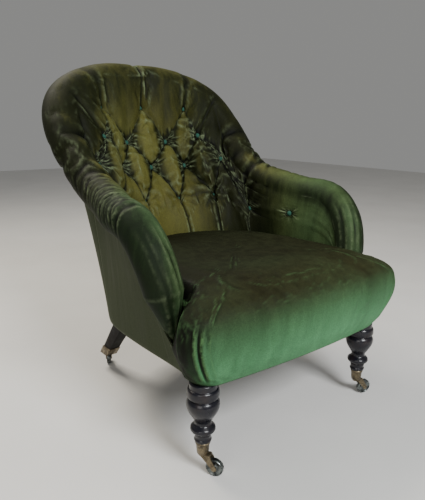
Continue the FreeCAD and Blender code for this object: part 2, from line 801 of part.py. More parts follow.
def ear_half(level):
    """Half width over the backs of the ears at a level: they draw in to the arms."""
    share = (level - cloth_hem) / (seat_height - cloth_hem)
    return seat_corner_half + table_value(ear_shares, ear_swells, max(0.0, share))


def seat_ring(level, share, inset, shrink):
    """Outline of the seat at a level, with a share of its swell past the hem."""
    front = seat_front - seat_front_swell * share + inset
    side = seat_corner_half + seat_side_swell * share - inset
    radius = seat_corner_radius
    centre = V(side - radius, front + seat_front_bow + radius, level)
    half = [V(0, front, level), V(centre.x / 2, front + seat_front_bow / 4, level),
            V(centre.x, front + seat_front_bow, level)]
    for k in range(1, 4):
        angle = math.radians(30 * k)
        half.append(centre + V(radius * math.sin(angle), -radius * math.cos(angle), 0))
    ear = ear_back(level) - inset
    edge = back_edge(level, inset)
    half += [V(min(side, ear_half(level) - inset), ear, level), V(edge[0].x, ear, level)] + edge
    middle = V(0, crown_set_back, level)
    half = [middle + (p - middle) * shrink for p in half]
    other = [V(-p.x, p.y, p.z) for p in half[1:-1]]
    return half + other[::-1]


def seat_form(inset, hem):
    rings = [seat_ring(hem, 0.0, inset, 1.0)]
    for up, share, shrink in seat_levels:
        rings.append(seat_ring(between(cloth_hem, seat_height, up) - inset, share, inset, shrink))
    return faceted_loft(rings, True)


def frame_space():
    """Room that the wooden frame takes inside the seat."""
    wide = frame_half_width + layer_gap
    rails = box(-wide, wide, front_rail_face - layer_gap, tub_back_foot, cloth_hem - 2, pad_foot_level)
    block = leg_half_spacing + block_half + layer_gap
    blocks = box(-block, block, -block_half - layer_gap, block_half + layer_gap, cloth_hem - 2, pad_foot_level)
    return rails.fuse(blocks)


def canvas_ring(level, inset):
    front = front_rail_face + layer_gap + inset
    edge = back_edge(level, seat_clearance + inset)
    half = [V(0, front, level), V(edge[0].x, front, level)] + edge
    other = [V(-p.x, p.y, p.z) for p in half[1:-1]]
    return half + other[::-1]


def canvas_form(inset, foot):
    top = spring_canvas_height - inset
    return faceted_loft([canvas_ring(foot, inset), canvas_ring(top, spring_canvas_slope + inset)])


def spring(x, y):
    """Hourglass coil of square wire, standing on the webbing."""
    foot = rail_bottom - layer_gap / 2 + spring_wire / 2
    head = spring_canvas_height - spring_canvas_thickness - layer_gap - spring_wire / 2
    steps = int(spring_turns * 6)
    half = spring_wire / 2
    rings = []
    for k in range(steps + 1):
        share = k / steps
        angle = 2 * math.pi * spring_turns * share
        radius = spring_waist_radius + (spring_end_radius - spring_waist_radius) * (2 * share - 1) ** 2
        out = V(math.cos(angle), math.sin(angle), 0)
        centre = V(x, y, foot + (head - foot) * share) + out * radius
        lift = V(0, 0, half)
        rings.append([centre - out * half - lift, centre + out * half - lift,
                      centre + out * half + lift, centre - out * half + lift])
    return faceted_loft(rings)


def seat_springs():
    first, middle, last = spring_rows
    spots = [(-spring_half_spacing, first), (spring_half_spacing, first), (0, middle),
             (-spring_half_spacing, last), (spring_half_spacing, last)]
    return group([spring(x, y) for x, y in spots])


def seat_webbing():
    top = rail_bottom - layer_gap / 2
    half = webbing_width / 2
    strips = []
    for x in (-spring_half_spacing, 0, spring_half_spacing):
        strips.append(box(x - half, x + half, front_rail_face + tack_margin,
                          cross_rail_front + rail_thickness - tack_margin,
                          top - webbing_thickness, top))
    under = top - webbing_thickness - layer_gap / 2
    for y in spring_rows:
        strips.append(box(tack_margin - side_rail_outside, side_rail_outside - tack_margin, y - half, y + half,
                          under - webbing_thickness, under))
    return group(strips)


def bottom_lining():
    """Thin cloth under the whole frame, cut out round the legs."""
    top = rail_bottom - 2 * webbing_thickness - 2 * layer_gap
    inset = cover_thickness + layer_gap + lining_inset
    front = front_rail_face + lining_inset
    half = [V(0, front, top), V(side_rail_outside - lining_inset, front, top)]
    for u in (3.0, 2.5, 2.0, 1.5, 1.0, 0.5, 0.0):
        foot = outer_foot.value(u)
        half.append(V(foot.x, foot.y, top) - rod_foot(u)[1] * inset)
    other = [V(-p.x, p.y, p.z) for p in half[1:-1]]
    ring = half + other[::-1]
    lining = Part.Face(Part.makePolygon(ring + ring[:1])).extrude(V(0, 0, -lining_thickness))
    clear = leg_groove_radius + layer_gap
    for side in (-1, 1):
        x = side * leg_half_spacing
        lining = lining.cut(box(x - clear, x + clear, -clear, clear, top - 5, top + 5))
        x = side * back_leg_half_spacing
        low, _, high, _ = leg_slice(top, layer_gap)
        half = (high.x - low.x) / 2
        lining = lining.cut(box(x - half, x + half, low.y - 2, high.y + 2, top - 5, top + 5))
    return lining


def make_nodes():
    nodes = {"front_rail": front_rail()}
    nodes["side_rail_left"], nodes["side_rail_right"] = both_sides(side_rail())
    nodes["bow_rail"] = bow_rail()
    nodes["cross_rail"] = cross_rail(nodes["bow_rail"])
    nodes["corner_braces"] = group(both_sides(corner_brace()))
    nodes["front_leg_left"], nodes["front_leg_right"] = both_sides(front_leg())
    nodes["back_leg_left"], nodes["back_leg_right"] = both_sides(back_leg(nodes["bow_rail"]))
    nodes["front_leg_sockets"] = group(both_sides(front_socket()))
    nodes["back_leg_sockets"] = group(both_sides(back_socket()))
    nodes["iron_rim"] = iron_rim()
    straps = [largest(iron_strap(u).cut(nodes["iron_rim"])) for u in (-3.9, -2.75, -1.5, 0.0, 1.5, 2.75, 3.9)]
    nodes["iron_straps"] = group(straps)
    nodes["back_hessian"] = back_hessian()
    seats = button_seats()
    pad = faceted_loft([pad_section(u) for u in all_steps])
    roll = largest(arm_front().cut(pad).cut(nodes["back_hessian"]))
    nodes["arm_front_left"], nodes["arm_front_right"] = both_sides(roll)
    panel = largest(outside_panel([u for u in all_steps[:-1] if u >= 2.5] + panel_steps).cut(roll))
    nodes["outside_arm_left"], nodes["outside_arm_right"] = both_sides(panel)
    nodes["outside_back"] = outside_panel(steps_within(-2.5, 2.5))
    nodes["tufted_pad"] = pad.cut(group([pit_cutter(*seat) for seat in seats]))
    nodes["buttons"] = group([button(*seat) for seat in seats])
    frame = frame_space()
    canvas = canvas_form(0.0, pad_foot_level)
    nodes["seat_canvas"] = canvas.cut(canvas_form(spring_canvas_thickness, pad_foot_level - 1))
    lining = seat_form(cover_thickness, cloth_hem - 1)
    nodes["seat_cover"] = seat_form(0.0, cloth_hem).cut(lining).cut(frame)
    stuffing = seat_form(cover_thickness + 2 * layer_gap, cloth_hem + layer_gap).cut(frame)
    stuffing = stuffing.cut(canvas_form(-layer_gap, pad_foot_level - layer_gap))
    nodes["seat_stuffing"] = largest(stuffing.cut(nodes["seat_cover"]))
    nodes["seat_springs"] = seat_springs()
    nodes["seat_webbing"] = seat_webbing()
    nodes["bottom_lining"] = bottom_lining()
    for name in castor_angles:
        nodes["castor_horn_" + name] = set_castor(horn(), name)
        nodes["castor_wheel_" + name] = set_castor(wheel(), name)
    return nodes


def place(nodes):
    """Move the chair so that the origin is the middle of its footprint, on the floor."""
    bounds = group(list(nodes.values())).BoundBox
    shift = V(-(bounds.XMin + bounds.XMax) / 2, -(bounds.YMin + bounds.YMax) / 2, -bounds.ZMin)
    for shape in nodes.values():
        shape.translate(shift)
    return shift


nodes = make_nodes()
shift = place(nodes)
os.makedirs("parts", exist_ok=True)
for name, shape in nodes.items():
    shape.exportStep("parts/" + name + ".step")
print("shift", shift.x, shift.y, shift.z)
for name in castor_angles:
    print(name, "pin", castor_pin(name), "wheel", wheel_spot(name), "height", wheel_radius)
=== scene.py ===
# Button back armchair in green velvet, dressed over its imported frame.
# Shapes are worked out in millimetres about the line between the front leg axes, as the
# chair is drawn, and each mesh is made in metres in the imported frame.
import math

import bmesh
import bpy
import numpy as np
from mathutils import Matrix, Vector, noise
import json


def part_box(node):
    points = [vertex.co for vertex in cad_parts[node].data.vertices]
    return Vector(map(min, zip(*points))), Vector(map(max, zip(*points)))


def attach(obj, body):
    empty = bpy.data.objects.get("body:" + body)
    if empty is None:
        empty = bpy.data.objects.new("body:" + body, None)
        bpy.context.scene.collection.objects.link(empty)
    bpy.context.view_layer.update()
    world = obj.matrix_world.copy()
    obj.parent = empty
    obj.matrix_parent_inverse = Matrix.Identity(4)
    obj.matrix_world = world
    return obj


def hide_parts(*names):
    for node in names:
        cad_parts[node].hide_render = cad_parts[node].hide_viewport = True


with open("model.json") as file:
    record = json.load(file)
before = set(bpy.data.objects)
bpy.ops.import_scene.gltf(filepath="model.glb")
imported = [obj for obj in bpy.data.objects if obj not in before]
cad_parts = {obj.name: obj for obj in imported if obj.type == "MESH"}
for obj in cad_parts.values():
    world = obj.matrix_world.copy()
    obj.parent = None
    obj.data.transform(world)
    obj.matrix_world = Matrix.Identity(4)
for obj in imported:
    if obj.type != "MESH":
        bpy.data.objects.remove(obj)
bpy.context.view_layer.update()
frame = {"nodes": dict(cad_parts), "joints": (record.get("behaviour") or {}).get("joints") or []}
scene = bpy.context.scene

MM = 0.001
leg_low, leg_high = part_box("front_leg_left")
LEG_LINE = (leg_low.y + leg_high.y) / 2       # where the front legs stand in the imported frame
LEG_HALF_SPACING = (leg_low.x + leg_high.x) / 2 / MM

# Sizes of the chair, as it is built, in mm and degrees
RAIL_TOP = 250.0              # top of the frame's rails
CLOTH_HEM = 200.0             # foot of the outside cloth and of the seat's front
PAD_FOOT = RAIL_TOP + 0.4     # where the tub's padding stands on the rails
ROLL_INNER_ANGLE = 188.0      # where the roll passes into the inside face
PILLOW_HEIGHT = 27.0          # of a full tuft over the pits of its buttons
PLEAT_RISE = 14.0             # of the middle of a pleat over the pits at its ends
PIT_HALF = 8.5                # half the width of a button's pit
TUFT_LENGTH = 150.0           # length of a tuft that swells in full
COVER = 2.5                   # thickness of the outside cloth with its lining


# Small helpers for curves and meshes
def between(a, b, share):
    return a + (b - a) * share


def smooth(x):
    x = min(1.0, max(0.0, x))
    return x * x * (3 - 2 * x)


def unit(v):
    return v.normalized()


def noise_at(*place):
    return noise.noise(Vector(place))


class Curve:
    """Smooth curve through points at given parameters, like a bent spline."""

    def __init__(self, stations, points):
        t = np.array(stations, float)
        p = np.array(points, float)
        n = len(t)
        h = np.diff(t)
        a = np.zeros((n, n))
        b = np.zeros((n, 3))
        for i in range(1, n - 1):
            a[i, i - 1:i + 2] = h[i - 1], 2 * (h[i - 1] + h[i]), h[i]
            b[i] = 6 * ((p[i + 1] - p[i]) / h[i] - (p[i] - p[i - 1]) / h[i - 1])
        a[0, :3] = h[1], -(h[0] + h[1]), h[0]
        a[-1, -3:] = h[-1], -(h[-2] + h[-1]), h[-2]
        self.t, self.p, self.h, self.m = t, p, h, np.linalg.solve(a, b)

    def _parts(self, u):
        k = int(np.clip(np.searchsorted(self.t, u) - 1, 0, len(self.t) - 2))
        return k, self.h[k], self.t[k + 1] - u, u - self.t[k]

    def value(self, u):
        k, h, a, b = self._parts(u)
        m, p = self.m, self.p
        v = (m[k] * a ** 3 + m[k + 1] * b ** 3) / (6 * h)
        v = v + (p[k] / h - m[k] * h / 6) * a + (p[k + 1] / h - m[k + 1] * h / 6) * b
        return Vector(v)

    def tangent(self, u):
        k, h, a, b = self._parts(u)
        m, p = self.m, self.p
        v = (m[k + 1] * b ** 2 - m[k] * a ** 2) / (2 * h) + (p[k + 1] - p[k]) / h
        v = v - (m[k + 1] - m[k]) * h / 6
        return unit(Vector(v))


def both_halves(stations, points):
    """A half table of the chair's left, with its right added."""
    left = [(-u, (-p[0], p[1], p[2])) for u, p in list(zip(stations, points))[:0:-1]]
    whole = left + list(zip(stations, points))
    return Curve([u for u, _ in whole], [p for _, p in whole])


def in_table(stations, values, u):
    return float(np.interp(abs(u), stations, values))


def put_in_scene(name, data):
    piece = bpy.data.objects.new(name, data)
    scene.collection.objects.link(piece)
    return piece


def smooth_faces(mesh):
    for face in mesh.polygons:
        face.use_smooth = True


def make_mesh(name, points, faces, finish):
    """A mesh piece, facing outward, from points in millimetres about the leg line."""
    mesh = bpy.data.meshes.new(name)
    mesh.from_pydata([(p[0] * MM, p[1] * MM + LEG_LINE, p[2] * MM) for p in points], [], faces)
    mesh.validate()
    mesh.materials.append(finish)
    smooth_faces(mesh)
    work = bmesh.new()
    work.from_mesh(mesh)
    bmesh.ops.recalc_face_normals(work, faces=work.faces)
    work.to_mesh(mesh)
    work.free()
    return put_in_scene(name, mesh)


def fit(piece, body, slot, *nodes):
    """Put a finished piece on its body, in place of the nodes it stands for."""
    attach(piece, body)
    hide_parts(*nodes)


def loop_faces(rows, around):
    """Quads through rows of closed loops, with a fan at each end to an added middle."""
    faces = []
    for k in range(rows - 1):
        for i in range(around):
            j = (i + 1) % around
            near, far = k * around, (k + 1) * around
            faces.append((near + i, near + j, far + j, far + i))
    first, last = rows * around, rows * around + 1
    base = (rows - 1) * around
    for i in range(around):
        j = (i + 1) % around
        faces.append((first, j, i))
        faces.append((last, base + i, base + j))
    return faces


def with_middles(rows):
    """All points of the rows, and the middles of the first and the last."""
    points = [p for row in rows for p in row]
    for row in (rows[0], rows[-1]):
        points.append(sum((Vector(p) for p in row), Vector()) / len(row))
    return points


def set_tone(piece, values, name="painted_shading"):
    """A number for each point that the finish reads, such as its painted light and shade, which rises
    with its height between pleats.
    """
    attribute = piece.data.attributes.new(name, "FLOAT", "POINT")
    attribute.data.foreach_set("value", np.array(values, np.float32))


def points_of(mesh, what="co"):
    values = np.zeros(len(mesh.vertices) * 3, np.float32)
    mesh.vertices.foreach_get(what, values)
    return values.reshape(-1, 3).astype(float)


def move_points(mesh, places):
    mesh.vertices.foreach_set("co", places.astype(np.float32).ravel())
    mesh.update()


def edges_of(mesh):
    ends = np.zeros(len(mesh.edges) * 2, np.int32)
    mesh.edges.foreach_get("vertices", ends)
    return ends.reshape(-1, 2)


def joined_to(edges, count):
    """How many points are joined to each point."""
    ends = [np.bincount(edges[:, side], minlength=count) for side in (0, 1)]
    return np.maximum(ends[0] + ends[1], 1)


def mean_of_neighbours(values, edges, count):
    """Mean of a value over the points joined to each point."""
    a, b = edges[:, 0], edges[:, 1]
    total = np.bincount(a, values[b], count) + np.bincount(b, values[a], count)
    return total / joined_to(edges, count)


# Bends of a cloth surface, in parts of a metre: the least that counts as a fold, and what more
# makes a full ridge or valley
LEAST_BEND = 8.0
FULL_RIDGE = 38.5
FULL_VALLEY = 132.0


def mark_relief(piece):
    """Ridges and valleys of a cloth surface, kept as numbers for the finish: painted shade in the
    valleys, and on the ridges a pale colour that is both pile thinned by rubbing and a painted
    highlight.
    """
    mesh = piece.data
    points, normals, edges = points_of(mesh), points_of(mesh, "normal"), edges_of(mesh)
    count = len(points)
    a, b = edges[:, 0], edges[:, 1]
    step = points[b] - points[a]
    square = np.maximum((step ** 2).sum(1), 1e-12)
    fall_a = (normals[a] * step).sum(1) / square
    fall_b = -(normals[b] * step).sum(1) / square
    bend = -(np.bincount(a, fall_a, count) + np.bincount(b, fall_b, count))
    bend /= joined_to(edges, count)
    bend = 0.5 * bend + 0.5 * mean_of_neighbours(bend, edges, count)
    set_tone(piece, np.clip((bend - LEAST_BEND) / FULL_RIDGE, 0, 1), "ridge")
    set_tone(piece, np.clip((-bend - LEAST_BEND) / FULL_VALLEY, 0, 0.5), "valley")


def mark_group(piece, name, shares):
    group = piece.vertex_groups.new(name=name)
    levels = np.round(np.array(shares) * 10).astype(int)
    for level in range(1, 11):
        group.add([int(k) for k in np.nonzero(levels == level)[0]], level / 10, "REPLACE")


SETTLING_STEPS = 14


def settle(piece, held, taut, pressure, slack, cap):
    """Lets stuffed cloth find its own folds. held says how fast each point is held, slack how
    much larger the cloth is than its form, taut where it isn't, and cap how far, in mm,
    a point may go."""
    mark_group(piece, "held", held)
    mark_group(piece, "taut", taut)
    cloth = piece.modifiers.new("settling", "CLOTH")
    settings = cloth.settings
    settings.quality = 4
    settings.mass = 0.3
    settings.bending_stiffness = 0.4
    settings.vertex_group_mass = "held"
    settings.vertex_group_shrink = "taut"
    settings.shrink_max = 0.0
    settings.shrink_min = -slack
    settings.use_pressure = True
    settings.uniform_pressure_force = pressure
    settings.effector_weights.gravity = 0.0
    cloth.point_cache.frame_start = 1
    cloth.point_cache.frame_end = SETTLING_STEPS
    for step in range(1, SETTLING_STEPS + 1):
        scene.frame_set(step)
    graph = bpy.context.evaluated_depsgraph_get()
    moved = points_of(piece.evaluated_get(graph).to_mesh())
    piece.evaluated_get(graph).to_mesh_clear()
    piece.modifiers.clear()
    piece.vertex_groups.clear()
    scene.frame_set(1)
    start = points_of(piece.data)
    move = moved - start
    length = np.linalg.norm(move, axis=1)
    limit = cap * MM
    move *= (limit * np.tanh(length / limit) / np.maximum(length, 1e-9))[:, None]
    move_points(piece.data, start + move)


def apply_modifiers(piece):
    graph = bpy.context.evaluated_depsgraph_get()
    mesh = bpy.data.meshes.new_from_object(piece.evaluated_get(graph))
    old = piece.data
    piece.modifiers.clear()
    piece.data = mesh
    mesh.name = piece.name
    bpy.data.meshes.remove(old)


# Finishes
class Finish:
    """A node material under construction."""

    def __init__(self, name):
        self.material = bpy.data.materials.new(name)
        self.material.use_nodes = True
        self.nodes = self.material.node_tree.nodes
        self.links = self.material.node_tree.links
        self.shader = self.nodes["Principled BSDF"]
        self.place = self.nodes.new("ShaderNodeTexCoord").outputs["Object"]

    def put(self, socket, value):
        if isinstance(value, bpy.types.NodeSocket):
            self.links.new(value, socket)
        else:
            socket.default_value = value

    def add(self, kind, **values):
        node = self.nodes.new(kind)
        for name, value in values.items():
            self.put(node.inputs[name], value)
        return node

    def mapped(self, scale):
        return self.add("ShaderNodeMapping", Scale=scale, Vector=self.place).outputs[0]

    def noise(self, scale, detail=3.0, rough=0.55, vector=None, distortion=0.0):
        node = self.add("ShaderNodeTexNoise", Vector=vector or self.place, Scale=scale,
                        Detail=detail, Roughness=rough, Distortion=distortion)
        return node.outputs["Fac"]

    def wave(self, scale, vector=None, distortion=2.0, direction="X", detail=2.0):
        node = self.add("ShaderNodeTexWave", Vector=vector or self.place, Scale=scale,
                        Distortion=distortion, Detail=detail)
        node.bands_direction = direction
        return node.outputs["Fac"]

    def attribute(self, name):
        node = self.nodes.new("ShaderNodeAttribute")
        node.attribute_name = name
        return node.outputs["Fac"]

    def math(self, operation, a, b=0.0, clamp=False):
        node = self.nodes.new("ShaderNodeMath")
        node.operation = operation
        node.use_clamp = clamp
        self.put(node.inputs[0], a)
        self.put(node.inputs[1], b)
        return node.outputs[0]

    def ramp(self, value, *stops):
        """Colours or greys at places along a value."""
        node = self.nodes.new("ShaderNodeValToRGB")
        self.links.new(value, node.inputs[0])
        points = node.color_ramp.elements
        while len(points) < len(stops):
            points.new(0.5)
        for point, (place, colour) in zip(points, stops):
            point.position = place
            point.color = (colour,) * 3 + (1,) if isinstance(colour, (int, float)) else (*colour, 1)
        return node.outputs[0]

    def mix(self, share, a, b, way="MIX"):
        node = self.nodes.new("ShaderNodeMix")
        node.data_type = "RGBA"
        node.blend_type = way
        self.put(node.inputs["Factor"], share)
        for label, value in (("A", a), ("B", b)):
            if isinstance(value, tuple):
                value = (*value, 1)
            colours = [s for s in node.inputs if s.type == "RGBA" and s.name == label]
            self.put(colours[0], value)
        return [s for s in node.outputs if s.type == "RGBA"][0]

    def bump(self, height, strength, distance, under=None):
        node = self.add("ShaderNodeBump", Strength=strength, Distance=distance, Height=height)
        if under is not None:
            self.links.new(under, node.inputs["Normal"])
        return node.outputs[0]

    def set(self, **values):
        for name, value in values.items():
            self.put(self.shader.inputs[name.replace("_", " ")], value)
        return self


def velvet(name, warm, cool, rubbed_and_highlight, streak=(1.0, 1.0, 0.22), sheen=(0.45, 0.55, 0.28, 1),
           sheen_weight=0.1, spread=0.15):
    """Cotton velvet. warm and cool each hold the dark, the middle and the bright colour of the
    pile: brushed in patches and strokes, with the painted light and shade that an attribute gives,
    painted shade in the folds, and along sharp ridges a pale colour that is both pile thinned by
    rubbing and a painted highlight. Other attributes say how cool it is and how it folds."""
    f = Finish(name)
    patches = f.noise(5.0, 3.0, 0.5, distortion=0.6)
    strokes = f.noise(42.0, 5.0, 0.62, vector=f.mapped(streak), distortion=0.4)
    pile = f.mix(0.5, f.noise(1100.0, 2.0, 0.6), f.noise(380.0, 3.0, 0.65))
    lie = f.mix(0.6, patches, strokes)
    brushed = f.ramp(lie, (0.30, -0.30), (0.70, 0.30))
    # Painted light and shade from the attribute, the pile's own brushed patches, and painted shade in
    # the valleys of the folds
    level = f.math("ADD", f.attribute("painted_shading"), brushed, clamp=True)
    level = f.math("SUBTRACT", level, f.attribute("valley"), clamp=True)
    leaning = f.ramp(patches, (0.30, -spread), (0.70, spread))
    coolness = f.math("ADD", f.attribute("cool"), leaning, clamp=True)
    warm_shade = f.ramp(level, (0.08, warm[0]), (0.48, warm[1]), (1.0, warm[2]))
    cool_shade = f.ramp(level, (0.08, cool[0]), (0.48, cool[1]), (1.0, cool[2]))
    colour = f.mix(coolness, warm_shade, cool_shade)
    # Pale along sharp ridges, in patches: pile thinned by rubbing and a painted highlight together
    rub_and_highlight_patches = f.ramp(f.noise(60.0, 3.0, 0.6), (0.38, 0.05), (0.6, 1.0))
    colour = f.mix(f.math("MULTIPLY", f.attribute("ridge"), rub_and_highlight_patches), colour, rubbed_and_highlight)
    grain = f.ramp(pile, (0.35, 0.35), (0.65, 1.65))
    colour = f.mix(0.5, colour, f.mix(1.0, colour, grain, "MULTIPLY"))
    f.set(Base_Color=colour, Roughness=f.ramp(lie, (0.3, 0.55), (0.7, 0.78)))
    f.set(Sheen_Weight=sheen_weight, Sheen_Roughness=0.2, Sheen_Tint=sheen)
    f.set(Specular_IOR_Level=0.1)
    soft = f.bump(lie, 0.5, 0.003)
    f.set(Normal=f.bump(pile, 0.4, 0.0004, soft))
    return f.material


def lacquered_wood(name, dark, light, coat, rough):
    """Ebonised and polished wood: near black, the grain just showing where use has thinned the black.
    """
    f = Finish(name)
    fibres = f.noise(220.0, 5.0, 0.65, vector=f.mapped((1, 1, 0.08)))
    rubs = f.noise(38.0, 4.0, 0.6)
    wear = f.ramp(rubs, (0.5, 0.0), (0.72, 1.0))
    colour = f.mix(wear, f.mix(fibres, dark, tuple(c * 1.8 for c in dark)), light)
    f.set(Base_Color=colour, Roughness=f.ramp(rubs, (0.35, rough), (0.7, rough + 0.2)))
    f.set(Specular_IOR_Level=0.2, Coat_Weight=coat, Coat_Roughness=0.15)
    f.set(Normal=f.bump(fibres, 0.12, 0.0006))
    return f.material


def sawn_wood(name, dark, light):
    f = Finish(name)
    rings = f.wave(14.0, vector=f.mapped((0.25, 1.0, 1.0)), distortion=5.0, detail=3.0, direction="Y")
    fibres = f.noise(300.0, 4.0, 0.6, vector=f.mapped((0.06, 1.0, 1.0)))
    colour = f.mix(f.mix(0.5, rings, fibres), dark, light)
    f.set(Base_Color=colour, Roughness=f.ramp(fibres, (0.3, 0.6), (0.7, 0.8)))
    f.set(Normal=f.bump(fibres, 0.4, 0.0008))
    return f.material


def aged_brass(name, bright, tarnish, rough=(0.28, 0.6), share=(0.4, 0.62)):
    """Old brass, bright in some patches and brown with tarnish in the others."""
    f = Finish(name)
    patches = f.noise(60.0, 5.0, 0.65, distortion=0.4)
    fine = f.noise(420.0, 4.0, 0.6)
    cover = f.ramp(f.mix(0.3, patches, fine), (share[0], 0.0), (share[1], 1.0))
    f.set(Base_Color=f.mix(cover, bright, tarnish))
    f.set(Roughness=f.ramp(cover, (0.0, rough[0]), (1.0, rough[1])))
    f.set(Metallic=0.9, Normal=f.bump(fine, 0.2, 0.0004))
    return f.material


def woven(name, thread, gap, pitch):
    """Plain weave in two threads."""
    f = Finish(name)
    warp = f.wave(pitch, distortion=0.6, direction="X")
    weft = f.wave(pitch, distortion=0.6, direction="Z")
    weave = f.mix(0.5, warp, weft, "MULTIPLY")
    slubs = f.noise(180.0, 3.0, 0.6)
    colour = f.mix(weave, gap, f.mix(slubs, thread, tuple(c * 0.7 for c in thread)))
    f.set(Base_Color=colour, Roughness=0.9, Normal=f.bump(weave, 0.5, 0.0006))
    return f.material


def plain_metal(name, colour, other, metallic, rough):
    f = Finish(name)
    scale = f.noise(90.0, 5.0, 0.65)
    f.set(Base_Color=f.mix(scale, colour, other))
    f.set(Roughness=f.ramp(scale, (0.3, rough), (0.7, rough + 0.25)))
    f.set(Metallic=metallic, Normal=f.bump(scale, 0.25, 0.001))
    return f.material


# Dark, middle and bright colour of each velvet; the dark and the bright one also serve as its painted
# shade and painted light. The seat's shadow olive and its bright green are a shaded and a lit copy of
# its one velvet.
OLIVE = ((0.0012, 0.0016, 0.0005), (0.0088, 0.0100, 0.0020), (0.088, 0.082, 0.018))
MOSS = ((0.0009, 0.0022, 0.0009), (0.0050, 0.0110, 0.0036), (0.040, 0.084, 0.034))
SHADOW_OLIVE = ((0.0012, 0.0016, 0.0005), (0.0066, 0.0064, 0.0018), (0.026, 0.027, 0.009))
LIT_EMERALD = ((0.0012, 0.0040, 0.0015), (0.020, 0.064, 0.025), (0.072, 0.205, 0.092))
GREY_GREEN = ((0.015, 0.020, 0.009), (0.025, 0.032, 0.0145), (0.040, 0.050, 0.025))
TEAL = ((0.002, 0.008, 0.005), (0.005, 0.019, 0.013), (0.02, 0.07, 0.05))
VELVET_TUB = velvet("velvet_tub", OLIVE, MOSS, (0.12, 0.15, 0.08), sheen_weight=0.04)
VELVET_SEAT = velvet("velvet_seat", SHADOW_OLIVE, LIT_EMERALD, (0.05, 0.11, 0.04), streak=(1.0, 1.0, 0.12),
                     sheen=(0.3, 0.42, 0.22, 1), sheen_weight=0.04, spread=0.06)
VELVET_OUTSIDE = velvet("velvet_outside", GREY_GREEN, GREY_GREEN, (0.05, 0.06, 0.035),
                        streak=(1.0, 1.0, 0.1), sheen_weight=0.05)
BUTTON_VELVET = velvet("velvet_buttons", TEAL, TEAL, (0.20, 0.36, 0.30))
EBONISED = lacquered_wood("ebonised_wood", (0.0034, 0.0034, 0.0056), (0.014, 0.009, 0.009), 0.35, 0.25)
DULL_EBONISED = lacquered_wood("dull_ebonised_wood", (0.0035, 0.003, 0.003), (0.012, 0.008, 0.006),
                               0.0, 0.6)
BRASS = aged_brass("aged_brass", (0.26, 0.21, 0.13), (0.045, 0.036, 0.024))
WHEEL_BRASS = aged_brass("wheel_brass", (0.20, 0.22, 0.21), (0.022, 0.025, 0.025), (0.2, 0.5),
                         (0.40, 0.58))
BEECH = sawn_wood("frame_wood", (0.30, 0.18, 0.09), (0.52, 0.37, 0.21))
IRON = plain_metal("forged_iron", (0.035, 0.032, 0.03), (0.10, 0.07, 0.05), 0.8, 0.55)
SPRING_STEEL = plain_metal("spring_steel", (0.30, 0.20, 0.13), (0.16, 0.13, 0.11), 1.0, 0.35)
HESSIAN = woven("hessian", (0.42, 0.33, 0.2), (0.1, 0.07, 0.04), 420.0)
LINING = woven("bottom_lining", (0.016, 0.016, 0.017), (0.004, 0.004, 0.004), 1300.0)

# The camera and the light
CAMERA_PLACE = (-0.77535, LEG_LINE - 0.69258, 0.680)
CAMERA_TURN = -38.36          # from straight ahead, in degrees, as the next two
CAMERA_DIP = 14.35
CAMERA_ROLL = 0.66
camera_data = bpy.data.cameras.new("camera")
camera_data.sensor_width = 36.0
camera_data.lens = 36.46
camera = put_in_scene("camera", camera_data)
camera.matrix_world = (Matrix.Translation(CAMERA_PLACE)
                       @ Matrix.Rotation(math.radians(CAMERA_TURN), 4, "Z")
                       @ Matrix.Rotation(math.radians(90 - CAMERA_DIP), 4, "X")
                       @ Matrix.Rotation(math.radians(CAMERA_ROLL), 4, "Z"))
scene.camera = camera


def area_light(name, place, aim, size, power, colour):
    data = bpy.data.lights.new(name, "AREA")
    data.shape = "RECTANGLE"
    data.size, data.size_y = size
    data.energy = power
    data.color = colour
    light = put_in_scene(name, data)
    light.location = place
    light.rotation_euler = (Vector(aim) - Vector(place)).to_track_quat("-Z", "Y").to_euler()


area_light("window", (-0.3, -2.5, 2.1), (0.0, 0.0, 0.45), (1.0, 1.0), 125.0, (0.96, 0.98, 1.0))
area_light("skylight", (-0.5, 1.4, 2.4), (0.0, 0.1, 0.5), (1.2, 0.9), 75.0, (1.0, 0.94, 0.82))
area_light("low_fill", (-2.4, -1.6, 1.2), (0.0, 0.0, 0.4), (1.3, 1.3), 22.0, (1.0, 0.97, 0.92))

world = bpy.data.worlds.new("studio")
world.use_nodes = True
world.node_tree.nodes["Background"].inputs["Color"].default_value = (0.86, 0.86, 0.84, 1)
world.node_tree.nodes["Background"].inputs["Strength"].default_value = 0.30
scene.world = world

floor_finish = Finish("studio_floor")
floor_colour = floor_finish.ramp(floor_finish.noise(3.0), (0.3, (0.60, 0.59, 0.57)),
                                 (0.7, (0.64, 0.63, 0.61)))
floor_finish.set(Base_Color=floor_colour, Roughness=0.75)
floor_mesh = bpy.data.meshes.new("studio_floor")
floor_mesh.from_pydata([(-6, -6, 0), (6, -6, 0), (6, 6, 0), (-6, 6, 0)], [], [(0, 1, 2, 3)])
floor_mesh.materials.append(floor_finish.material)
put_in_scene("studio_floor", floor_mesh)

# Lines of the tub. A station u runs from 0 at the middle of the back to 5 at the point of the
# left arm, and to -5 at the right one. First the roll, then the outside foot, the foot of the
# padding and the line where it meets the seat.
roll_stations = [0, 1, 1.5, 2, 2.5, 3, 3.5, 4, 4.4, 4.7, 5]
roll_line = both_halves(roll_stations, [
    (0, 668, 789), (150, 646, 769), (238, 612, 721), (266, 532, 624), (259, 422, 534), (270, 318, 506),
    (290, 232, 491), (297, 160, 481), (291, 106, 432), (279, 82, 360), (262, 84, 259.4)])
roll_radii = [44, 44, 43, 42, 42, 42, 42, 42, 42, 40, 7]
seam_angles = [-42, -52, -85, -105, -95, -80, -80, -80, -80, -80, -80]
SEAT_LEVEL = PAD_FOOT + 95.0
TUB_MIDDLE = 250.0     # in plan, behind the leg line


def level_line(level, stations, plan):
    return both_halves(stations, [(x, y, level) for x, y in plan])


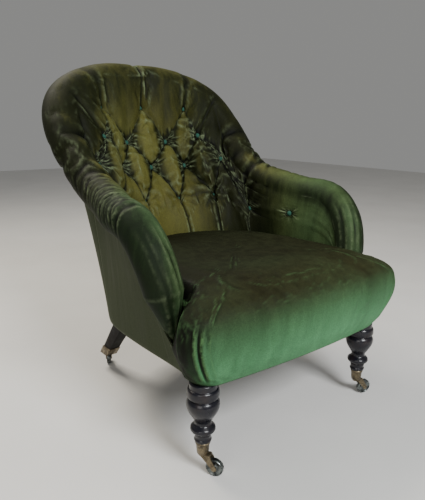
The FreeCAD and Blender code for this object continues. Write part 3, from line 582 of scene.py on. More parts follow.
outer_foot = level_line(CLOTH_HEM, [0, 1, 1.5, 2, 2.5, 3, 4, 5], [
    (0, 524), (112, 507), (168, 477), (216, 432), (250, 375), (262, 300), (262, 150), (262, 34)])
inner_foot = level_line(PAD_FOOT, [0, 0.5, 1, 1.5, 2, 2.5, 3, 4, 4.4, 4.7, 5], [
    (0, 447), (60, 441), (105, 428), (145, 408), (183, 380), (212, 345), (229, 290), (232, 155),
    (236, 106), (245, 90), (256, 84)])
seat_join = level_line(SEAT_LEVEL, [0, 0.5, 1, 1.5, 2, 2.5], [
    (0, 478), (66, 468), (112, 452), (150, 430), (190, 400), (216, 366)])
# Places of the buttons by row and station; the right half mirrors the left
button_rows = {
    "top": {0: (0, 636, 711), 1: (138, 614, 711)},
    "second": {0.5: (65, 604, 616), 1.5: (154, 562, 635)},
    "third": {0: (0, 581, 546), 1: (106, 565, 548), 2: (200, 506, 568)},
    "bottom": {0.5: (57, 522, 456), 1.5: (156, 480, 465), 2.5: (220, 389, 432)},
}
arm_button = (3.3, (238, 250, 436))
arm_shares = (0.12, 0.24, 0.36, 0.66)     # places down an arm that carry on the tub's pleats
LAST_PLEAT = 2.5       # station of the last buttoned pleat; the plain arms begin beyond it
ARM_END = 4.12         # station where the arm's front begins, at the end of its inside face
SPACING = 120.0        # about the distance along the tub from one station to the next


def roll_frame(u):
    """Middle of the roll, its radius, and its outward and upward directions."""
    centre = roll_line.value(u)
    along = roll_line.tangent(u)
    foot = outer_foot.value(u)
    hub = Vector((foot.x * 0.97, foot.y + 60 * max(0.0, abs(u) - 4), foot.z))
    up = centre - hub
    up = unit(up - along * up.dot(along))
    out = unit(along.cross(up))
    if out.dot(Vector((centre.x, centre.y - TUB_MIDDLE, 0))) < 0:
        out = -out
    return centre, in_table(roll_stations, roll_radii, u), out, up


def on_roll(u, degrees, stand=0.0, at=None):
    centre, radius, out, up = at or roll_frame(u)
    angle = math.radians(degrees)
    return centre + (out * math.cos(angle) + up * math.sin(angle)) * (radius + stand)


def for_side(p, u):
    return Vector((-p[0], p[1], p[2])) if u < 0 else Vector(p)


def inward_of(a, b, u):
    """Across the padding's face at a station, towards the sitter."""
    normal = unit((b - a).cross(outer_foot.tangent(u)))
    to_sitter = Vector((-a.x, TUB_MIDDLE - a.y, 0))
    return normal if normal.dot(to_sitter) > 0 else -normal


def pleat_point(rows, u, arm_share):
    """Point of the pleat that runs in a zigzag between the buttons of two rows, and how full its
    rise is there. Past the last buttons it runs on at a share of the way to the foot."""
    side = abs(u)
    low_end = math.floor(side * 2) / 2
    ends = []
    for s in (low_end, low_end + 0.5):
        found = [button_rows[r][s] for r in rows if s in button_rows[r]]
        if found:
            ends.append(for_side(found[0], u))
        else:
            at = math.copysign(s, u)
            ends.append(between(on_roll(at, ROLL_INNER_ANGLE), inner_foot.value(at), arm_share))
    share = (side - low_end) * 2
    return between(ends[0], ends[1], share), 4 * share * (1 - share)


def tuft_rises(points, edges):
    """Rise of the tuft between each two points, over the mean height of its pleats."""
    rises = []
    for a, b, edge_a, edge_b in zip(points[:-1], points[1:], edges[:-1], edges[1:]):
        share = max(0.0, ((b - a).length - 2 * PIT_HALF) / TUFT_LENGTH)
        full = PILLOW_HEIGHT * min(1.0, share) ** 0.5 - (edge_a + edge_b) / 2
        rises.append(max(2.5 * min(1.0, share * 4), full))
    rises[0] = min(rises[0], 4.0)
    rises[-1] = 0.0
    return rises


def plain_chain(u, top):
    """The chain of an arm: points straight down from the roll, without rises."""
    foot = inner_foot.value(u)
    return [top] + [between(top, foot, share) for share in arm_shares] + [foot], [0.0] * 5


def tufted_chain(u, top):
    """The chain where the tub is buttoned: a pleat between each two rows of buttons."""
    foot = inner_foot.value(u)
    side = min(abs(u), LAST_PLEAT)
    u = math.copysign(side, u)
    level = seat_join.value(u)
    inward = inward_of(top, level, u)
    # The two pleats that meet at a button pass over and under its pit
    from_button = abs(side * 2 - round(side * 2))
    spread = unit(level - top) * (PIT_HALF * 0.5 * max(0.0, 1 - 4 * from_button))
    over = 0 if round(side * 2) % 2 == 1 else 1
    points, edges = [top], [8.0]
    rows = list(button_rows)
    for n, two_rows in enumerate(zip(rows, rows[1:])):
        p, rise = pleat_point(two_rows, u, arm_shares[n])
        if n == over:
            p = p - spread
        elif n == over + 1:
            p = p + spread
        points.append(p + inward * PLEAT_RISE * rise)
        edges.append(PLEAT_RISE * rise)
    points += [level, foot]
    rises = tuft_rises(points, edges + [4.0, 0.0])
    wing = 1 - 0.75 * smooth((side - 2.0) / 0.5)
    return points, [rise * wing if n in (1, 2) else rise for n, rise in enumerate(rises)]


def plainness(u):
    """0 where the tub is buttoned, 1 along the plain arms."""
    return smooth((abs(u) - LAST_PLEAT) / 0.45)


def pad_chain(u, top):
    """Inside face of the tub at a station: points down it, and the rise between each two."""
    if abs(u) <= LAST_PLEAT:
        return tufted_chain(u, top)
    plain, fill = plain_chain(u, top)
    share = plainness(u)
    if share >= 1:
        return plain, fill
    tufted, rises = tufted_chain(u, top)
    points = [between(a, b, share) for a, b in zip(tufted, plain)]
    return points, [a * (1 - share) + b * share for a, b in zip(rises, fill)]


def tuft_profile(s):
    """How a tuft swells between two pleats: steep beside them, flat on its crown."""
    return max(0.0, 1 - abs(2 * s - 1) ** 2.4) ** 0.66


# Pleats that run up from a button over the roll: station, depth, and the angle of the
# roll at which each dies out
up_pleats = [(0.0, 3.0, 105), (1.0, 4.5, 65), (1.5, 2.5, 110), (2.0, 7.0, 25), (2.28, 4.0, 60),
             (2.55, 8.0, 10)]
# Folds that fan out from the last low button up over the wing: station at the roll, depth
wing_folds = [(2.60, 4.0), (2.74, 3.4), (2.90, 2.6)]
# Pleats that run down from the lowest buttons to the seat
down_pleats = [(0.5, 6.0), (1.5, 6.0), (LAST_PLEAT, 6.0)]


def fold(distance, width):
    """Cross section of a pleat: a sharp valley with soft shoulders."""
    d = abs(distance) / width
    return math.exp(-d) - 0.34 * math.exp(-((d - 2.0) ** 2) / 0.9)


def up_fold(u, angle):
    """Depth of the pleats at a place of the roll or above the first pleat."""
    depth = 0.0
    for station, deep, dies in up_pleats:
        away = (abs(u) - station) * SPACING
        if abs(away) < 60:
            fade = smooth((angle - dies) / (ROLL_INNER_ANGLE - dies))
            depth += deep * fade * fold(away, 4.0 + 7.0 * (1 - fade))
    return depth


def gathers(u, angle, seam_angle):
    """Small puckers of the cloth beside the outside seam."""
    near = math.exp(-max(0.0, angle - seam_angle) / 30.0)
    wave = noise_at(u * 9.0, 3.1, 0.2)
    wave = wave + 0.6 * noise_at(u * 24.0, 8.3, 1.7)
    return (2.4 - 1.2 * smooth(abs(u) - 3)) * near * wave


# Creases across the arm's roll: station, depth and width
arm_creases = [(2.42, 6.5, 6.5), (2.56, 3.6, 4.0), (2.72, 6.2, 6.0), (2.86, 4.2, 4.0), (3.10, 6.0, 5.0),
               (3.24, 4.6, 4.0), (3.44, 6.0, 5.5), (3.60, 4.8, 4.0), (3.79, 4.6, 4.0), (3.93, 4.6, 5.0)]


def arm_wrinkles(u, angle):
    """Crescent wrinkles across the arm's roll, deepest towards its outer shoulder."""
    side = abs(u)
    depth = 0.0
    for station, deep, width in arm_creases:
        if station > 2.8:
            deep *= 0.3 if u > 0 else 1.5
        wander = 0.04 * noise_at(station * 7, angle * 0.03, 1.0)
        bend = 0.12 * ((angle - 70) / 70.0) ** 2 + wander
        away = (side - station - bend) * SPACING
        if abs(away) < 50:
            depth += deep * math.exp(-((angle - 62) / 58.0) ** 2) * fold(away, width * 0.6)
    return depth * (0.75 + 0.5 * noise_at(u * 2.0, angle * 0.02, 4.0))


def button_pull(p, seats):
    """How the cloth wrinkles in a star about the nearest button, and how near it lies."""
    near, pull = 1e9, 0.0
    for n, (seat, side, other) in enumerate(seats):
        away = p - seat
        distance = away.length
        if distance < 75:
            turn = math.atan2(away.dot(other), away.dot(side))
            ray = Vector((4.0 * math.cos(turn), 4.0 * math.sin(turn), n * 3.7))
            pull += 4.2 * noise.noise(ray) * math.exp(-((distance - 18) / 18.0) ** 2)
            near = min(near, distance)
    return pull, near


# How finely the tub is cut: round its roll, between the points down its inside face, and
# along its hidden side
ROLL_PIECES = 40
CHAIN_PIECES = (10, 30, 30, 34, 8)
BACK_PIECES = 7
SIDE_CUTS = 130        # from the middle of the back to station 4, and then to the arm's point
POINT_CUTS = 50
INSIDE_PIECES = sum(CHAIN_PIECES)


def arm_front_creases(u, angle, radius):
    """Folds that run down the front of the arm's roll to its point."""
    side = abs(u) - ARM_END
    depth = 0.0
    for low_angle, deep in ((108, 2.6), (150, 2.2), (60, 1.2)):
        away = (angle - low_angle - 16 * side) * math.radians(1) * radius
        depth += deep * fold(away, 4.0) * smooth(side / 0.25)
    return depth * smooth(radius / 30.0)


# Painted sheen and shade of the tub: how brightly its inside face and its roll are painted at each
# station, from the sitter's right arm round to the left
painted_sheen_stations = [-5, -4, -3, -2.4, -1.8, -0.5, 0.6, 1.4, 2.0, 2.7, 3.3, 5]
painted_sheen_inside = [0.60, 0.5, 0.5, 0.42, 0.56, 0.82, 0.72, 0.42, 0.28, 0.20, 0.80, 0.85]
painted_sheen_roll = [0.36, 0.20, 0.28, 0.20, 0.17, 0.36, 0.38, 0.28, 0.17, 0.22, 0.40, 0.24]


def roll_part(u, at, seam_angle, roll_tone):
    """The roll from the outside seam round to the inside face, with the painted light and shade of each
    point.
    """
    side, radius = abs(u), at[1]
    full = min(1.0, radius / 30)     # less where the roll thins out to its point
    points, tones = [], []
    for k in range(ROLL_PIECES + 1):
        angle = between(seam_angle, ROLL_INNER_ANGLE, k / ROLL_PIECES)
        depth = up_fold(u, angle) + arm_wrinkles(u, angle)
        if side > ARM_END:
            depth = depth * smooth(radius / 30.0) + arm_front_creases(u, angle, radius)
        tuck = 5.0 * full * math.exp(-(angle - seam_angle) / 7.0)
        stand = gathers(u, angle, seam_angle) * full - depth - tuck
        stand += 1.2 * noise_at(u * 1.4, angle * 0.012, 9.0)
        points.append(on_roll(u, angle, stand, at))
        # Painted highlight along the top of the roll, fainter over the back, and painted shade in its
        # folds and at the tuck by the seam
        top_gleam = 0.35 * math.exp(-((angle - 120) / 30.0) ** 2)
        top_gleam = top_gleam * (1 - 0.6 * smooth((2.6 - side) / 0.5))
        tones.append(roll_tone + top_gleam - 0.07 * (depth + tuck * 1.5))
    return points, tones


def wing_sinks(side, down):
    """How deep each fold of the wing sinks, at a share of the way down."""
    if not 2.4 < side < 3.3 or down >= 1:
        return []
    middles = [LAST_PLEAT + (start - LAST_PLEAT) * (1 - down) ** 0.6 for start, _ in wing_folds]
    return [deep * fold((side - middle) * SPACING, 3.5)
            for middle, (_, deep) in zip(middles, wing_folds)]


def inside_part(u, at, seats, roll_tone, inside_tone):
    """The inside face from the roll down to its foot, with the painted light and shade of each point,
    and the foot.
    """
    side = abs(u)
    # Towards the arm's point the face rises under the roll
    chain, rises = pad_chain(u, on_roll(u, ROLL_INNER_ANGLE, 0.0, at))
    shut = smooth((side - ARM_END) / 0.7)
    under_roll = on_roll(u, ROLL_INNER_ANGLE + 40, -2.0, at)
    chain = [between(p, under_roll, shut * n / 5) for n, p in enumerate(chain)]
    plain = plainness(u)
    points, tones = [], []
    for n, (a, b, rise, pieces) in enumerate(zip(chain[:-1], chain[1:], rises, CHAIN_PIECES)):
        inward = inward_of(chain[0], chain[5], u) if side > ARM_END else inward_of(a, b, u)
        for k in range(1, pieces + 1):
            done = len(points) + 1
            s = k / pieces
            lift = rise * tuft_profile(s)
            # Painted light on the crowns of the tufts and painted shade low between them
            crown = 0.25 + 0.75 * min(1.0, lift / 9.0)
            if n == 0:
                depth = up_fold(u, ROLL_INNER_ANGLE)
                lift -= depth
                # Painted shade in the pleats that run up over the roll
                crown = max(0.0, 0.8 - 0.1 * depth)
            if n >= 3 and side < 3:
                for station, deep in down_pleats:
                    away = (side - station) * SPACING
                    if abs(away) < 60:
                        below = 1.0 if n == 4 else smooth(s * 6)
                        lift -= deep * below * fold(away, 4.0)
                        # Painted shade down the pleat
                        crown -= 0.5 * below * max(0.0, fold(away, 4.0))
            for sink in wing_sinks(side, done / (INSIDE_PIECES * 0.72)):
                lift -= sink
            lift += 6.0 * plain * (1 - shut) * math.sin(math.pi * done / INSIDE_PIECES)
            lift += 1.5 * noise_at(u * 2.3, n * 1.7 + s * 1.7, 2.0)
            p = between(a, b, s) + inward * lift
            pull, near = button_pull(p, seats)
            dimple = 0.0 if plain < 1 or near > 60 else 10.0 * math.exp(-(near / 13.0) ** 1.2)
            points.append(p + inward * ((pull if side < 2.6 else pull * 0.5) - dimple))
            # Painted shade in the pits of the buttons, and an even level along the plain arms
            crown = between(crown, 0.75, plain) - 0.3 * math.exp(-(near / 16.0) ** 2)
            tones.append(between(roll_tone, crown * inside_tone, smooth(done / 12)))
    return points, tones, chain[5]


def hidden_part(u, at, seam_angle, pad_foot):
    """The hidden side, which lies along the canvas and comes up behind the roll."""
    centre, radius, out, up = at
    foot = outer_foot.value(u)
    stand_foot = Vector((foot.x, foot.y, PAD_FOOT)) - plan_out_at(u) * 19.0
    if abs(u) > 4:
        below = pad_foot + Vector((math.copysign(6.0, u), 0, 0))
        stand_foot = between(stand_foot, below, smooth((abs(u) - 4) / 0.3))
    rod = centre - out * min(4.0, radius * 0.1) - up * min(12.0, radius * 0.3)
    hidden = [between(stand_foot, rod, k / (BACK_PIECES - 1)) for k in range(BACK_PIECES)]
    return hidden + [between(rod, on_roll(u, seam_angle, -min(12.0, radius * 0.3), at), 0.6)]


def tub_section(u, seats):
    """Closed outline of the stuffed tub at a station, with the painted light and shade of each point.
    """
    at = roll_frame(u)
    seam_angle = in_table(roll_stations, seam_angles, u)
    roll_tone = float(np.interp(u, painted_sheen_stations, painted_sheen_roll))
    inside_tone = float(np.interp(u, painted_sheen_stations, painted_sheen_inside))
    roll, roll_tones = roll_part(u, at, seam_angle, roll_tone)
    inside, inside_tones, pad_foot = inside_part(u, at, seats, roll_tone, inside_tone)
    hidden = hidden_part(u, at, seam_angle, pad_foot)
    return roll + inside + hidden, roll_tones + inside_tones + [0.5] * len(hidden)


def plan_out_at(u):
    """Straight outward at the foot of the tub, in plan."""
    across = outer_foot.tangent(u)
    out = unit(Vector((across.y, -across.x, 0)))
    foot = outer_foot.value(u)
    return out if out.dot(Vector((foot.x, foot.y - TUB_MIDDLE, 0))) > 0 else -out


def button_seats():
    """Place and direction, towards the sitter, of every button."""
    seats = []
    places = [place for row in button_rows.values() for place in row.items()]
    for station, point in places + [arm_button]:
        for u in sorted({station, -station}):
            chain = pad_chain(u, on_roll(u, ROLL_INNER_ANGLE))[0]
            seats.append((for_side(point, u), inward_of(chain[0], chain[4], u)))
    return seats


def stuffed_tub():
    seats = []
    for seat, normal in button_seats():
        side = unit(normal.cross(Vector((0, 0, 1))))
        seats.append((seat, side, unit(normal.cross(side))))
    half = [k * 4.0 / SIDE_CUTS for k in range(SIDE_CUTS + 1)]
    half += [4.0 + k / POINT_CUTS for k in range(1, POINT_CUTS + 1)]
    stations = [-u for u in half[:0:-1]] + half
    rows, tones = [], []
    for u in stations:
        row, painted_shading = tub_section(u, seats)
        rows.append(row)
        tones.append(painted_shading)
    around = len(rows[0])
    piece = make_mesh("stuffed_tub", with_middles(rows), loop_faces(len(rows), around), VELVET_TUB)
    tones = [t for row in tones for t in row] + [0.5, 0.5]
    settle(piece, *hold_of_tub(rows, seats, stations), 3.0, 0.05, 6.0)
    set_tone(piece, np.clip(tones, 0, 1))
    # The pile looks greener towards the fronts of the arms and low down
    cool = [0.75 * smooth((420 - p.y) / 260) + 0.35 * smooth((400 - p.z) / 160)
            for row in rows for p in row]
    set_tone(piece, cool + [1.0, 1.0], "cool")
    mark_relief(piece)
    return piece


def hold_of_tub(rows, seats, stations):
    """How fast each point of the tub is held, and how taut its cloth is: the hidden side, the
    feet and the pits of the buttons are held quite, the pleats half, the rest a little."""
    places = np.array([p for row in rows for p in row])
    near = np.full(len(places), 1e9)
    for seat in seats:
        near = np.minimum(near, np.linalg.norm(places - np.array(seat[0]), axis=1))
    shown = ROLL_PIECES + 1 + INSIDE_PIECES
    around = len(rows[0])
    column = np.arange(len(places)) % around
    held = np.where(near < 15, 1.0, 0.1)
    foot = shown - CHAIN_PIECES[-1] * 3
    held[(column >= foot) | (column < 2)] = 1.0
    pleat = ROLL_PIECES
    for pieces in CHAIN_PIECES[:-1]:
        pleat += pieces
        held[column == pleat] = np.maximum(held[column == pleat], 0.5)
    arm = np.repeat([smooth((abs(u) - 2.1) / 0.5) for u in stations], around)
    held = np.maximum(held, 0.45 * arm)
    taut = np.maximum(arm, 0.4)
    taut[(column > ROLL_PIECES) & (arm < 0.5)] = 0.0
    return list(held) + [1.0, 1.0], list(taut) + [1.0, 1.0]


tub = stuffed_tub()
fit(tub, "chair", "velvet", "tufted_pad", "arm_front_left", "arm_front_right")


# Plain cloth of the outside
def seam_point(u):
    side = abs(u)
    if side <= 4.4:
        return on_roll(u, in_table(roll_stations, seam_angles, u))
    centre, radius = roll_frame(u)[:2]
    rear = math.radians(in_table([4.4, 4.7, 5], [70, 70, 0], side))
    return centre + Vector((math.copysign(math.cos(rear), u), math.sin(rear), 0)) * radius


def outside_cloth(name, node_name, first, last, columns):
    """Taut cloth from the seam down to the hem, turned under at its foot."""
    rows = 40
    faces, front, back = [], [], []
    for k in range(columns + 1):
        u = between(first, last, k / columns)
        side = abs(u)
        at_hem = u if side < 4 else math.copysign(4 + (side - 4) / 0.9, u)
        hem = outer_foot.value(at_hem)
        seam = seam_point(u)
        out = plan_out_at(at_hem)
        for i in range(rows + 1):
            t = i / rows
            pull = 1.6 * math.exp(-(1 - t) * 14) * noise_at(u * 17, 0.4, 7.7)
            slack = -1.5 * math.sin(math.pi * t) + 0.8 * noise_at(u * 1.1, t * 2.0, 3.0)
            p = between(hem, seam, t) + out * (slack + pull)
            if i == 0:
                p = p - out
            front.append(p)
            back.append(p - out * COVER)
    n = rows + 1
    size = len(front)
    for k in range(columns):
        for i in range(rows):
            a, b, c, d = k * n + i, (k + 1) * n + i, (k + 1) * n + i + 1, k * n + i + 1
            faces.append((a, b, c, d))
            faces.append((size + a, size + d, size + c, size + b))
    rim = [k * n for k in range(columns + 1)] + [columns * n + i for i in range(1, n)]
    rim += [k * n + rows for k in range(columns - 1, -1, -1)] + list(range(rows - 1, 0, -1))
    for a, b in zip(rim, rim[1:] + rim[:1]):
        faces.append((a, size + a, size + b, b))
    piece = make_mesh(name, front + back, faces, VELVET_OUTSIDE)
    set_tone(piece, [0.6] * (2 * size))
    set_tone(piece, [0.5] * (2 * size), "cool")
    mark_relief(piece)
    fit(piece, "chair", "velvet", node_name)


# The outside cloths: the back's between its last pleats, and each arm's from there to near its point
outside_cloth("outside_cloth_back", "outside_back", -LAST_PLEAT, LAST_PLEAT, 200)
for hand, way in (("left", 1), ("right", -1)):
    outside_cloth("outside_cloth_" + hand, "outside_arm_" + hand, way * LAST_PLEAT, way * 4.9, 110)

# The seat, in mm and degrees
SEAT_HEIGHT = 382.0
SEAT_MIDDLE = 200.0           # of its crown, behind the leg line
FRONT_AT_HEM = -42.0
FRONT_SWELL = 26.0
FRONT_BOW = 10.0              # how far the middle of the front stands before its corners
HALF_WIDTH_AT_HEM = 268.0
SIDE_SWELL = 47.0
CORNER_RADIUS = 44.0
CORNER_PLEAT = (34, 5.0, 3.5)     # its angle round the corner, depth and width
# Section of the seat: depth below its crown, share of its swell, and how far it draws in
seat_profile = [(182, 0.0, 0), (165, 0.3, 0), (140, 0.62, 0), (102, 0.95, 0), (72, 1.0, 0),
                (47, 0.86, 0), (30, 0.54, 0.005), (17.5, 0.06, 0.02), (10, -0.25, 0.06),
                (4.5, -0.3, 0.14), (1.4, -0.3, 0.27), (0, -0.3, 0.48)]


def pad_face(u, level):
    """Point of the tub's inside face at a level."""
    top = seat_join.value(u) if u <= LAST_PLEAT else on_roll(u, ROLL_INNER_ANGLE)
    foot = inner_foot.value(u)
    share = min(1.0, max(0.0, (level - foot.z) / (top.z - foot.z)))
    p = between(foot, top, share)
    return Vector((p.x, p.y, level))


def ear_back(level):
    """Where the ears beside the arms end, just before the arms' fronts."""
    return float(np.interp(level, [CLOTH_HEM, RAIL_TOP, 360], [34, 70, 42])) - 3.0


def ear_half(level):
    """Half width over the backs of the ears, which draw in to the arms."""
    share = (level - CLOTH_HEM) / (SEAT_HEIGHT - CLOTH_HEM)
    swell = np.interp(share, [0.0, 0.25, 0.5, 0.75, 1.0], [0.0, 5.0, 0.0, -14.0, -32.0])
    return HALF_WIDTH_AT_HEM + float(swell)


def seat_outline(level, share):
    """Half outline of the seat at a level, from mid front round to mid back."""
    front = FRONT_AT_HEM - FRONT_SWELL * share
    side = HALF_WIDTH_AT_HEM + SIDE_SWELL * share
    radius = CORNER_RADIUS
    centre = Vector((side - radius, front + FRONT_BOW + radius, level))
    half = [Vector((centre.x * k / 30, front + FRONT_BOW * (k / 30) ** 2, level)) for k in range(31)]
    pleat_angle, pleat_depth, pleat_width = CORNER_PLEAT
    deep = pleat_depth * smooth((level - 205) / 30) * (1 - smooth((level - 300) / 50))
    for k in range(1, 25):
        angle = math.radians(90 * k / 24)
        pleat = deep * fold((90 * k / 24 - pleat_angle) * 0.77, pleat_width)
        out = Vector((radius * math.sin(angle), -radius * math.cos(angle), 0))
        half.append(centre + out * (1 - pleat / radius))
    ear = ear_back(level)
    ear_outside = min(side, ear_half(level))
    half += [Vector((between(side, ear_outside, k / 10), between(centre.y, ear, k / 10), level))
             for k in range(1, 11)]
    clear = 3.0 + 0.3 * max(0.0, level - SEAT_LEVEL)
    edge = [pad_face(u, level) - plan_out_at(u) * clear for u in np.linspace(3.6, 0.0, 50)]
    beside = min(ear_outside - 1.0, edge[0].x + 24.0 * smooth((level - 310) / 35))
    half += [Vector((between(ear_outside, beside, k / 4), ear, level)) for k in range(1, 5)]
    half += [between(Vector((beside, ear, level)), edge[0], k / 9) for k in range(1, 9)]
    return half + edge


def beside_arm(p, drawn_in):
    """The seat stays full close to the arms, and draws in less there than at its front."""
    beside = smooth((p.y + 20) / 80) * smooth((330 - p.y) / 90)
    return 1 - 0.88 * beside * (1 - smooth((drawn_in - 0.1) / 0.4))


def seat_row(level, share, drawn_in=0.0, rounds=0):
    """Closed row of the seat, drawn in to its middle and rounded off."""
    middle = Vector((0, SEAT_MIDDLE, level))
    half = [middle + (p - middle) * (1 - drawn_in * beside_arm(p, drawn_in))
            for p in seat_outline(level, share)]
    row = half + [Vector((-p.x, p.y, p.z)) for p in half[-2:0:-1]]
    for _ in range(rounds):
        row = [(row[k - 1] + row[(k + 1) % len(row)] + row[k] * 2) / 4 for k in range(len(row))]
    return row


def hold_of_seat(rows):
    """How fast each point of the seat is held: its hem and all that lies between the arms
    quite, the ears and the middle of the crown less, the rest a little."""
    held = []
    for k, row in enumerate(rows):
        for p in row:
            if k < 6 or (p.y > 75 and p.z < SEAT_HEIGHT - 25):
                held.append(1.0)
            elif abs(p.x) > 190 and p.y > 20:
                held.append(0.7)
            else:
                to_middle = math.hypot(p.x, p.y - SEAT_MIDDLE)
                held.append(max(0.25, smooth((220 - to_middle) / 80)))
    return held + [0.25, 0.25]


def shade_seat(piece, places):
    """Painted light and shade of the seat: brighter and greener down the front, which faces the light,
    brighter to the front, low down and to the chair's left, and painted shade where it faces sideways,
    as on the ears.
    """
    normals = points_of(piece.data, "normal")
    facing = normals @ np.array((0.05, -0.96, -0.28))
    front = np.clip((facing - 0.35) / 0.60, 0, 1)
    below = np.clip((0.362 - places[:, 2]) / 0.13, 0, 1)
    forward = np.clip((0.10 - (places[:, 1] - LEG_LINE)) / 0.12, 0, 1)
    sideways = np.abs(normals[:, 0])
    painted_shading = 0.36 + 0.20 * forward + 0.20 * below - 0.75 * sideways ** 1.6 + 0.3 * places[:, 0]
    set_tone(piece, np.clip(painted_shading, 0, 1))
    # Greener and brighter low on the front: the lit copy of the velvet, painted light
    set_tone(piece, np.clip(front * below * 1.05, 0, 1), "cool")


def seat_cushion():
    rows = [seat_row(CLOTH_HEM + 1.0, 0.0, inset) for inset in (0.6, 0.3, 0.1)]
    section = Curve(list(range(len(seat_profile))), seat_profile)
    steps = 54
    for k in range(steps + 1):
        spot = section.value(k / steps * (len(seat_profile) - 1))
        drawn_in = max(0.0, spot.z)
        rounds = int(260 * max(0.0, spot.z - 0.015))
        rows.append(seat_row(SEAT_HEIGHT - max(0.0, spot.x), spot.y, drawn_in, rounds))
    for inset in (0.56, 0.64, 0.72, 0.80, 0.88, 0.95):
        rows.append(seat_row(SEAT_HEIGHT, -0.3, inset, 130))
    faces = loop_faces(len(rows), len(rows[0]))
    piece = make_mesh("seat_cushion", with_middles(rows), faces, VELVET_SEAT)
    places = points_of(piece.data)
    settle(piece, hold_of_seat(rows), [0.0] * len(places), 2.5, 0.012, 4.0)
    wrinkle_seat(piece)
    shade_seat(piece, places)
    mark_relief(piece)
    fit(piece, "chair", "velvet", "seat_cover", "seat_stuffing")


# Short creases where people have sat: middle, direction, length, depth, in mm
seat_creases = [((-95, 95), 35, 60, 1.6), ((-60, 130), 50, 45, 1.2), ((90, 60), -20, 55, 1.0),
                ((10, 210), 10, 70, 1.0)]


def wrinkle_seat(piece):
    """Creases of use on the seat's top, and strokes of drawn cloth down its front."""
    places = points_of(piece.data)
    normals = points_of(piece.data, "normal")
    for k, (x, y, z) in enumerate(places / MM):
        y -= LEG_LINE / MM
        sink = 0.0
        if z > 366:
            for (cx, cy), turn, length, deep in seat_creases:
                cosine, sine = math.cos(math.radians(turn)), math.sin(math.radians(turn))
                along = (x - cx) * cosine + (y - cy) * sine
                across = (y - cy) * cosine - (x - cx) * sine
                if abs(along) < length and abs(across) < 25:
                    bend = across - 6 * math.sin(along * 0.05)
                    sink += deep * (1 - (along / length) ** 2) * fold(bend, 3.0)
            sink += 1.2 * noise_at(x * 0.012, y * 0.012, 3.0)
        if y < 60 and 205 < z < 372:
            stroke = noise_at(x * 0.045, y * 0.03, z * 0.004)
            sink += 0.9 * stroke * smooth((372 - z) / 40)
        places[k] -= normals[k] * sink * MM
    move_points(piece.data, places)


seat_cushion()


# Buttons
def tree_of(name, inputs):
    """An empty node tree for geometry with named sizes."""
    tree = bpy.data.node_groups.new(name, "GeometryNodeTree")
    tree.interface.new_socket("Geometry", in_out="INPUT", socket_type="NodeSocketGeometry")
    for label, kind, value in inputs:
        tree.interface.new_socket(label, in_out="INPUT", socket_type=kind).default_value = value
    tree.interface.new_socket("Geometry", in_out="OUTPUT", socket_type="NodeSocketGeometry")
    return tree, tree.nodes.new("NodeGroupInput"), tree.nodes.new("NodeGroupOutput")


def node(tree, kind, **values):
    made = tree.nodes.new(kind)
    for name, value in values.items():
        label = name.replace("_", " ")
        if hasattr(made, name):
            setattr(made, name, value)
        elif isinstance(value, bpy.types.NodeSocket):
            tree.links.new(value, made.inputs[label])
        else:
            made.inputs[label].default_value = value
    return made


def covered_buttons():
    """One flat domed button at each seat, each turned a little its own way."""
    tree, given, result = tree_of("covered_buttons", [
        ("Radius", "NodeSocketFloat", 7.0 * MM), ("Height", "NodeSocketFloat", 5.0 * MM),
        ("Seed", "NodeSocketInt", 3)])
    radius = given.outputs["Radius"]
    ball = node(tree, "GeometryNodeMeshUVSphere", Segments=20, Rings=12, Radius=radius)
    size = node(tree, "ShaderNodeCombineXYZ", X=1.0, Y=1.0)
    share = node(tree, "ShaderNodeMath", operation="DIVIDE")
    tree.links.new(given.outputs["Height"], share.inputs[0])
    tree.links.new(radius, share.inputs[1])
    tree.links.new(share.outputs[0], size.inputs["Z"])
    flat = node(tree, "GeometryNodeTransform", Geometry=ball.outputs["Mesh"],
                Scale=size.outputs[0])
    normal = node(tree, "GeometryNodeInputNamedAttribute", data_type="FLOAT_VECTOR")
    normal.inputs["Name"].default_value = "towards_sitter"
    turn = node(tree, "FunctionNodeAlignRotationToVector", axis="Z", Vector=normal.outputs[0])
    on_points = node(tree, "GeometryNodeInstanceOnPoints", Points=given.outputs["Geometry"],
                     Instance=flat.outputs[0], Rotation=turn.outputs[0])
    random = node(tree, "FunctionNodeRandomValue", data_type="FLOAT_VECTOR",
                  Seed=given.outputs["Seed"])
    random.inputs["Min"].default_value = (-0.16, -0.16, 0.0)
    random.inputs["Max"].default_value = (0.16, 0.16, 0.5)
    tilt = node(tree, "GeometryNodeRotateInstances", Instances=on_points.outputs[0])
    tree.links.new(random.outputs[0], tilt.inputs["Rotation"])
    real = node(tree, "GeometryNodeRealizeInstances", Geometry=tilt.outputs[0])
    painted = node(tree, "GeometryNodeSetMaterial", Geometry=real.outputs[0])
    painted.inputs["Material"].default_value = BUTTON_VELVET
    tree.links.new(painted.outputs[0], result.inputs[0])
    seats = button_seats()
    piece = make_mesh("covered_buttons", [p + n * 1.5 for p, n in seats], [], BUTTON_VELVET)
    normals = piece.data.attributes.new("towards_sitter", "FLOAT_VECTOR", "POINT")
    normals.data.foreach_set("vector", [c for _, n in seats for c in n])
    modifier = piece.modifiers.new("buttons", "NODES")
    modifier.node_group = tree
    apply_modifiers(piece)
    smooth_faces(piece.data)
    set_tone(piece, [0.8] * len(piece.data.vertices))
    set_tone(piece, [0.6] * len(piece.data.vertices), "cool")
    fit(piece, "chair", "velvet", "buttons")


covered_buttons()


# Legs and castors
TURNED_SIDES = 72


def lathe(name, profile, finish, *bases):
    """Turned work: (radius, height) up a profile, about the upright line through each base."""
    turns = [2 * math.pi * k / TURNED_SIDES for k in range(TURNED_SIDES)]
    points, faces = [], []
    for base in bases:
        rows = [[base + Vector((radius * math.cos(turn), radius * math.sin(turn), height))
                 for turn in turns] for radius, height in profile]
        first = len(points)
        faces += [tuple(first + k for k in face) for face in loop_faces(len(rows), TURNED_SIDES)]
        points += with_middles(rows)
    return make_mesh(name, points, faces, finish)


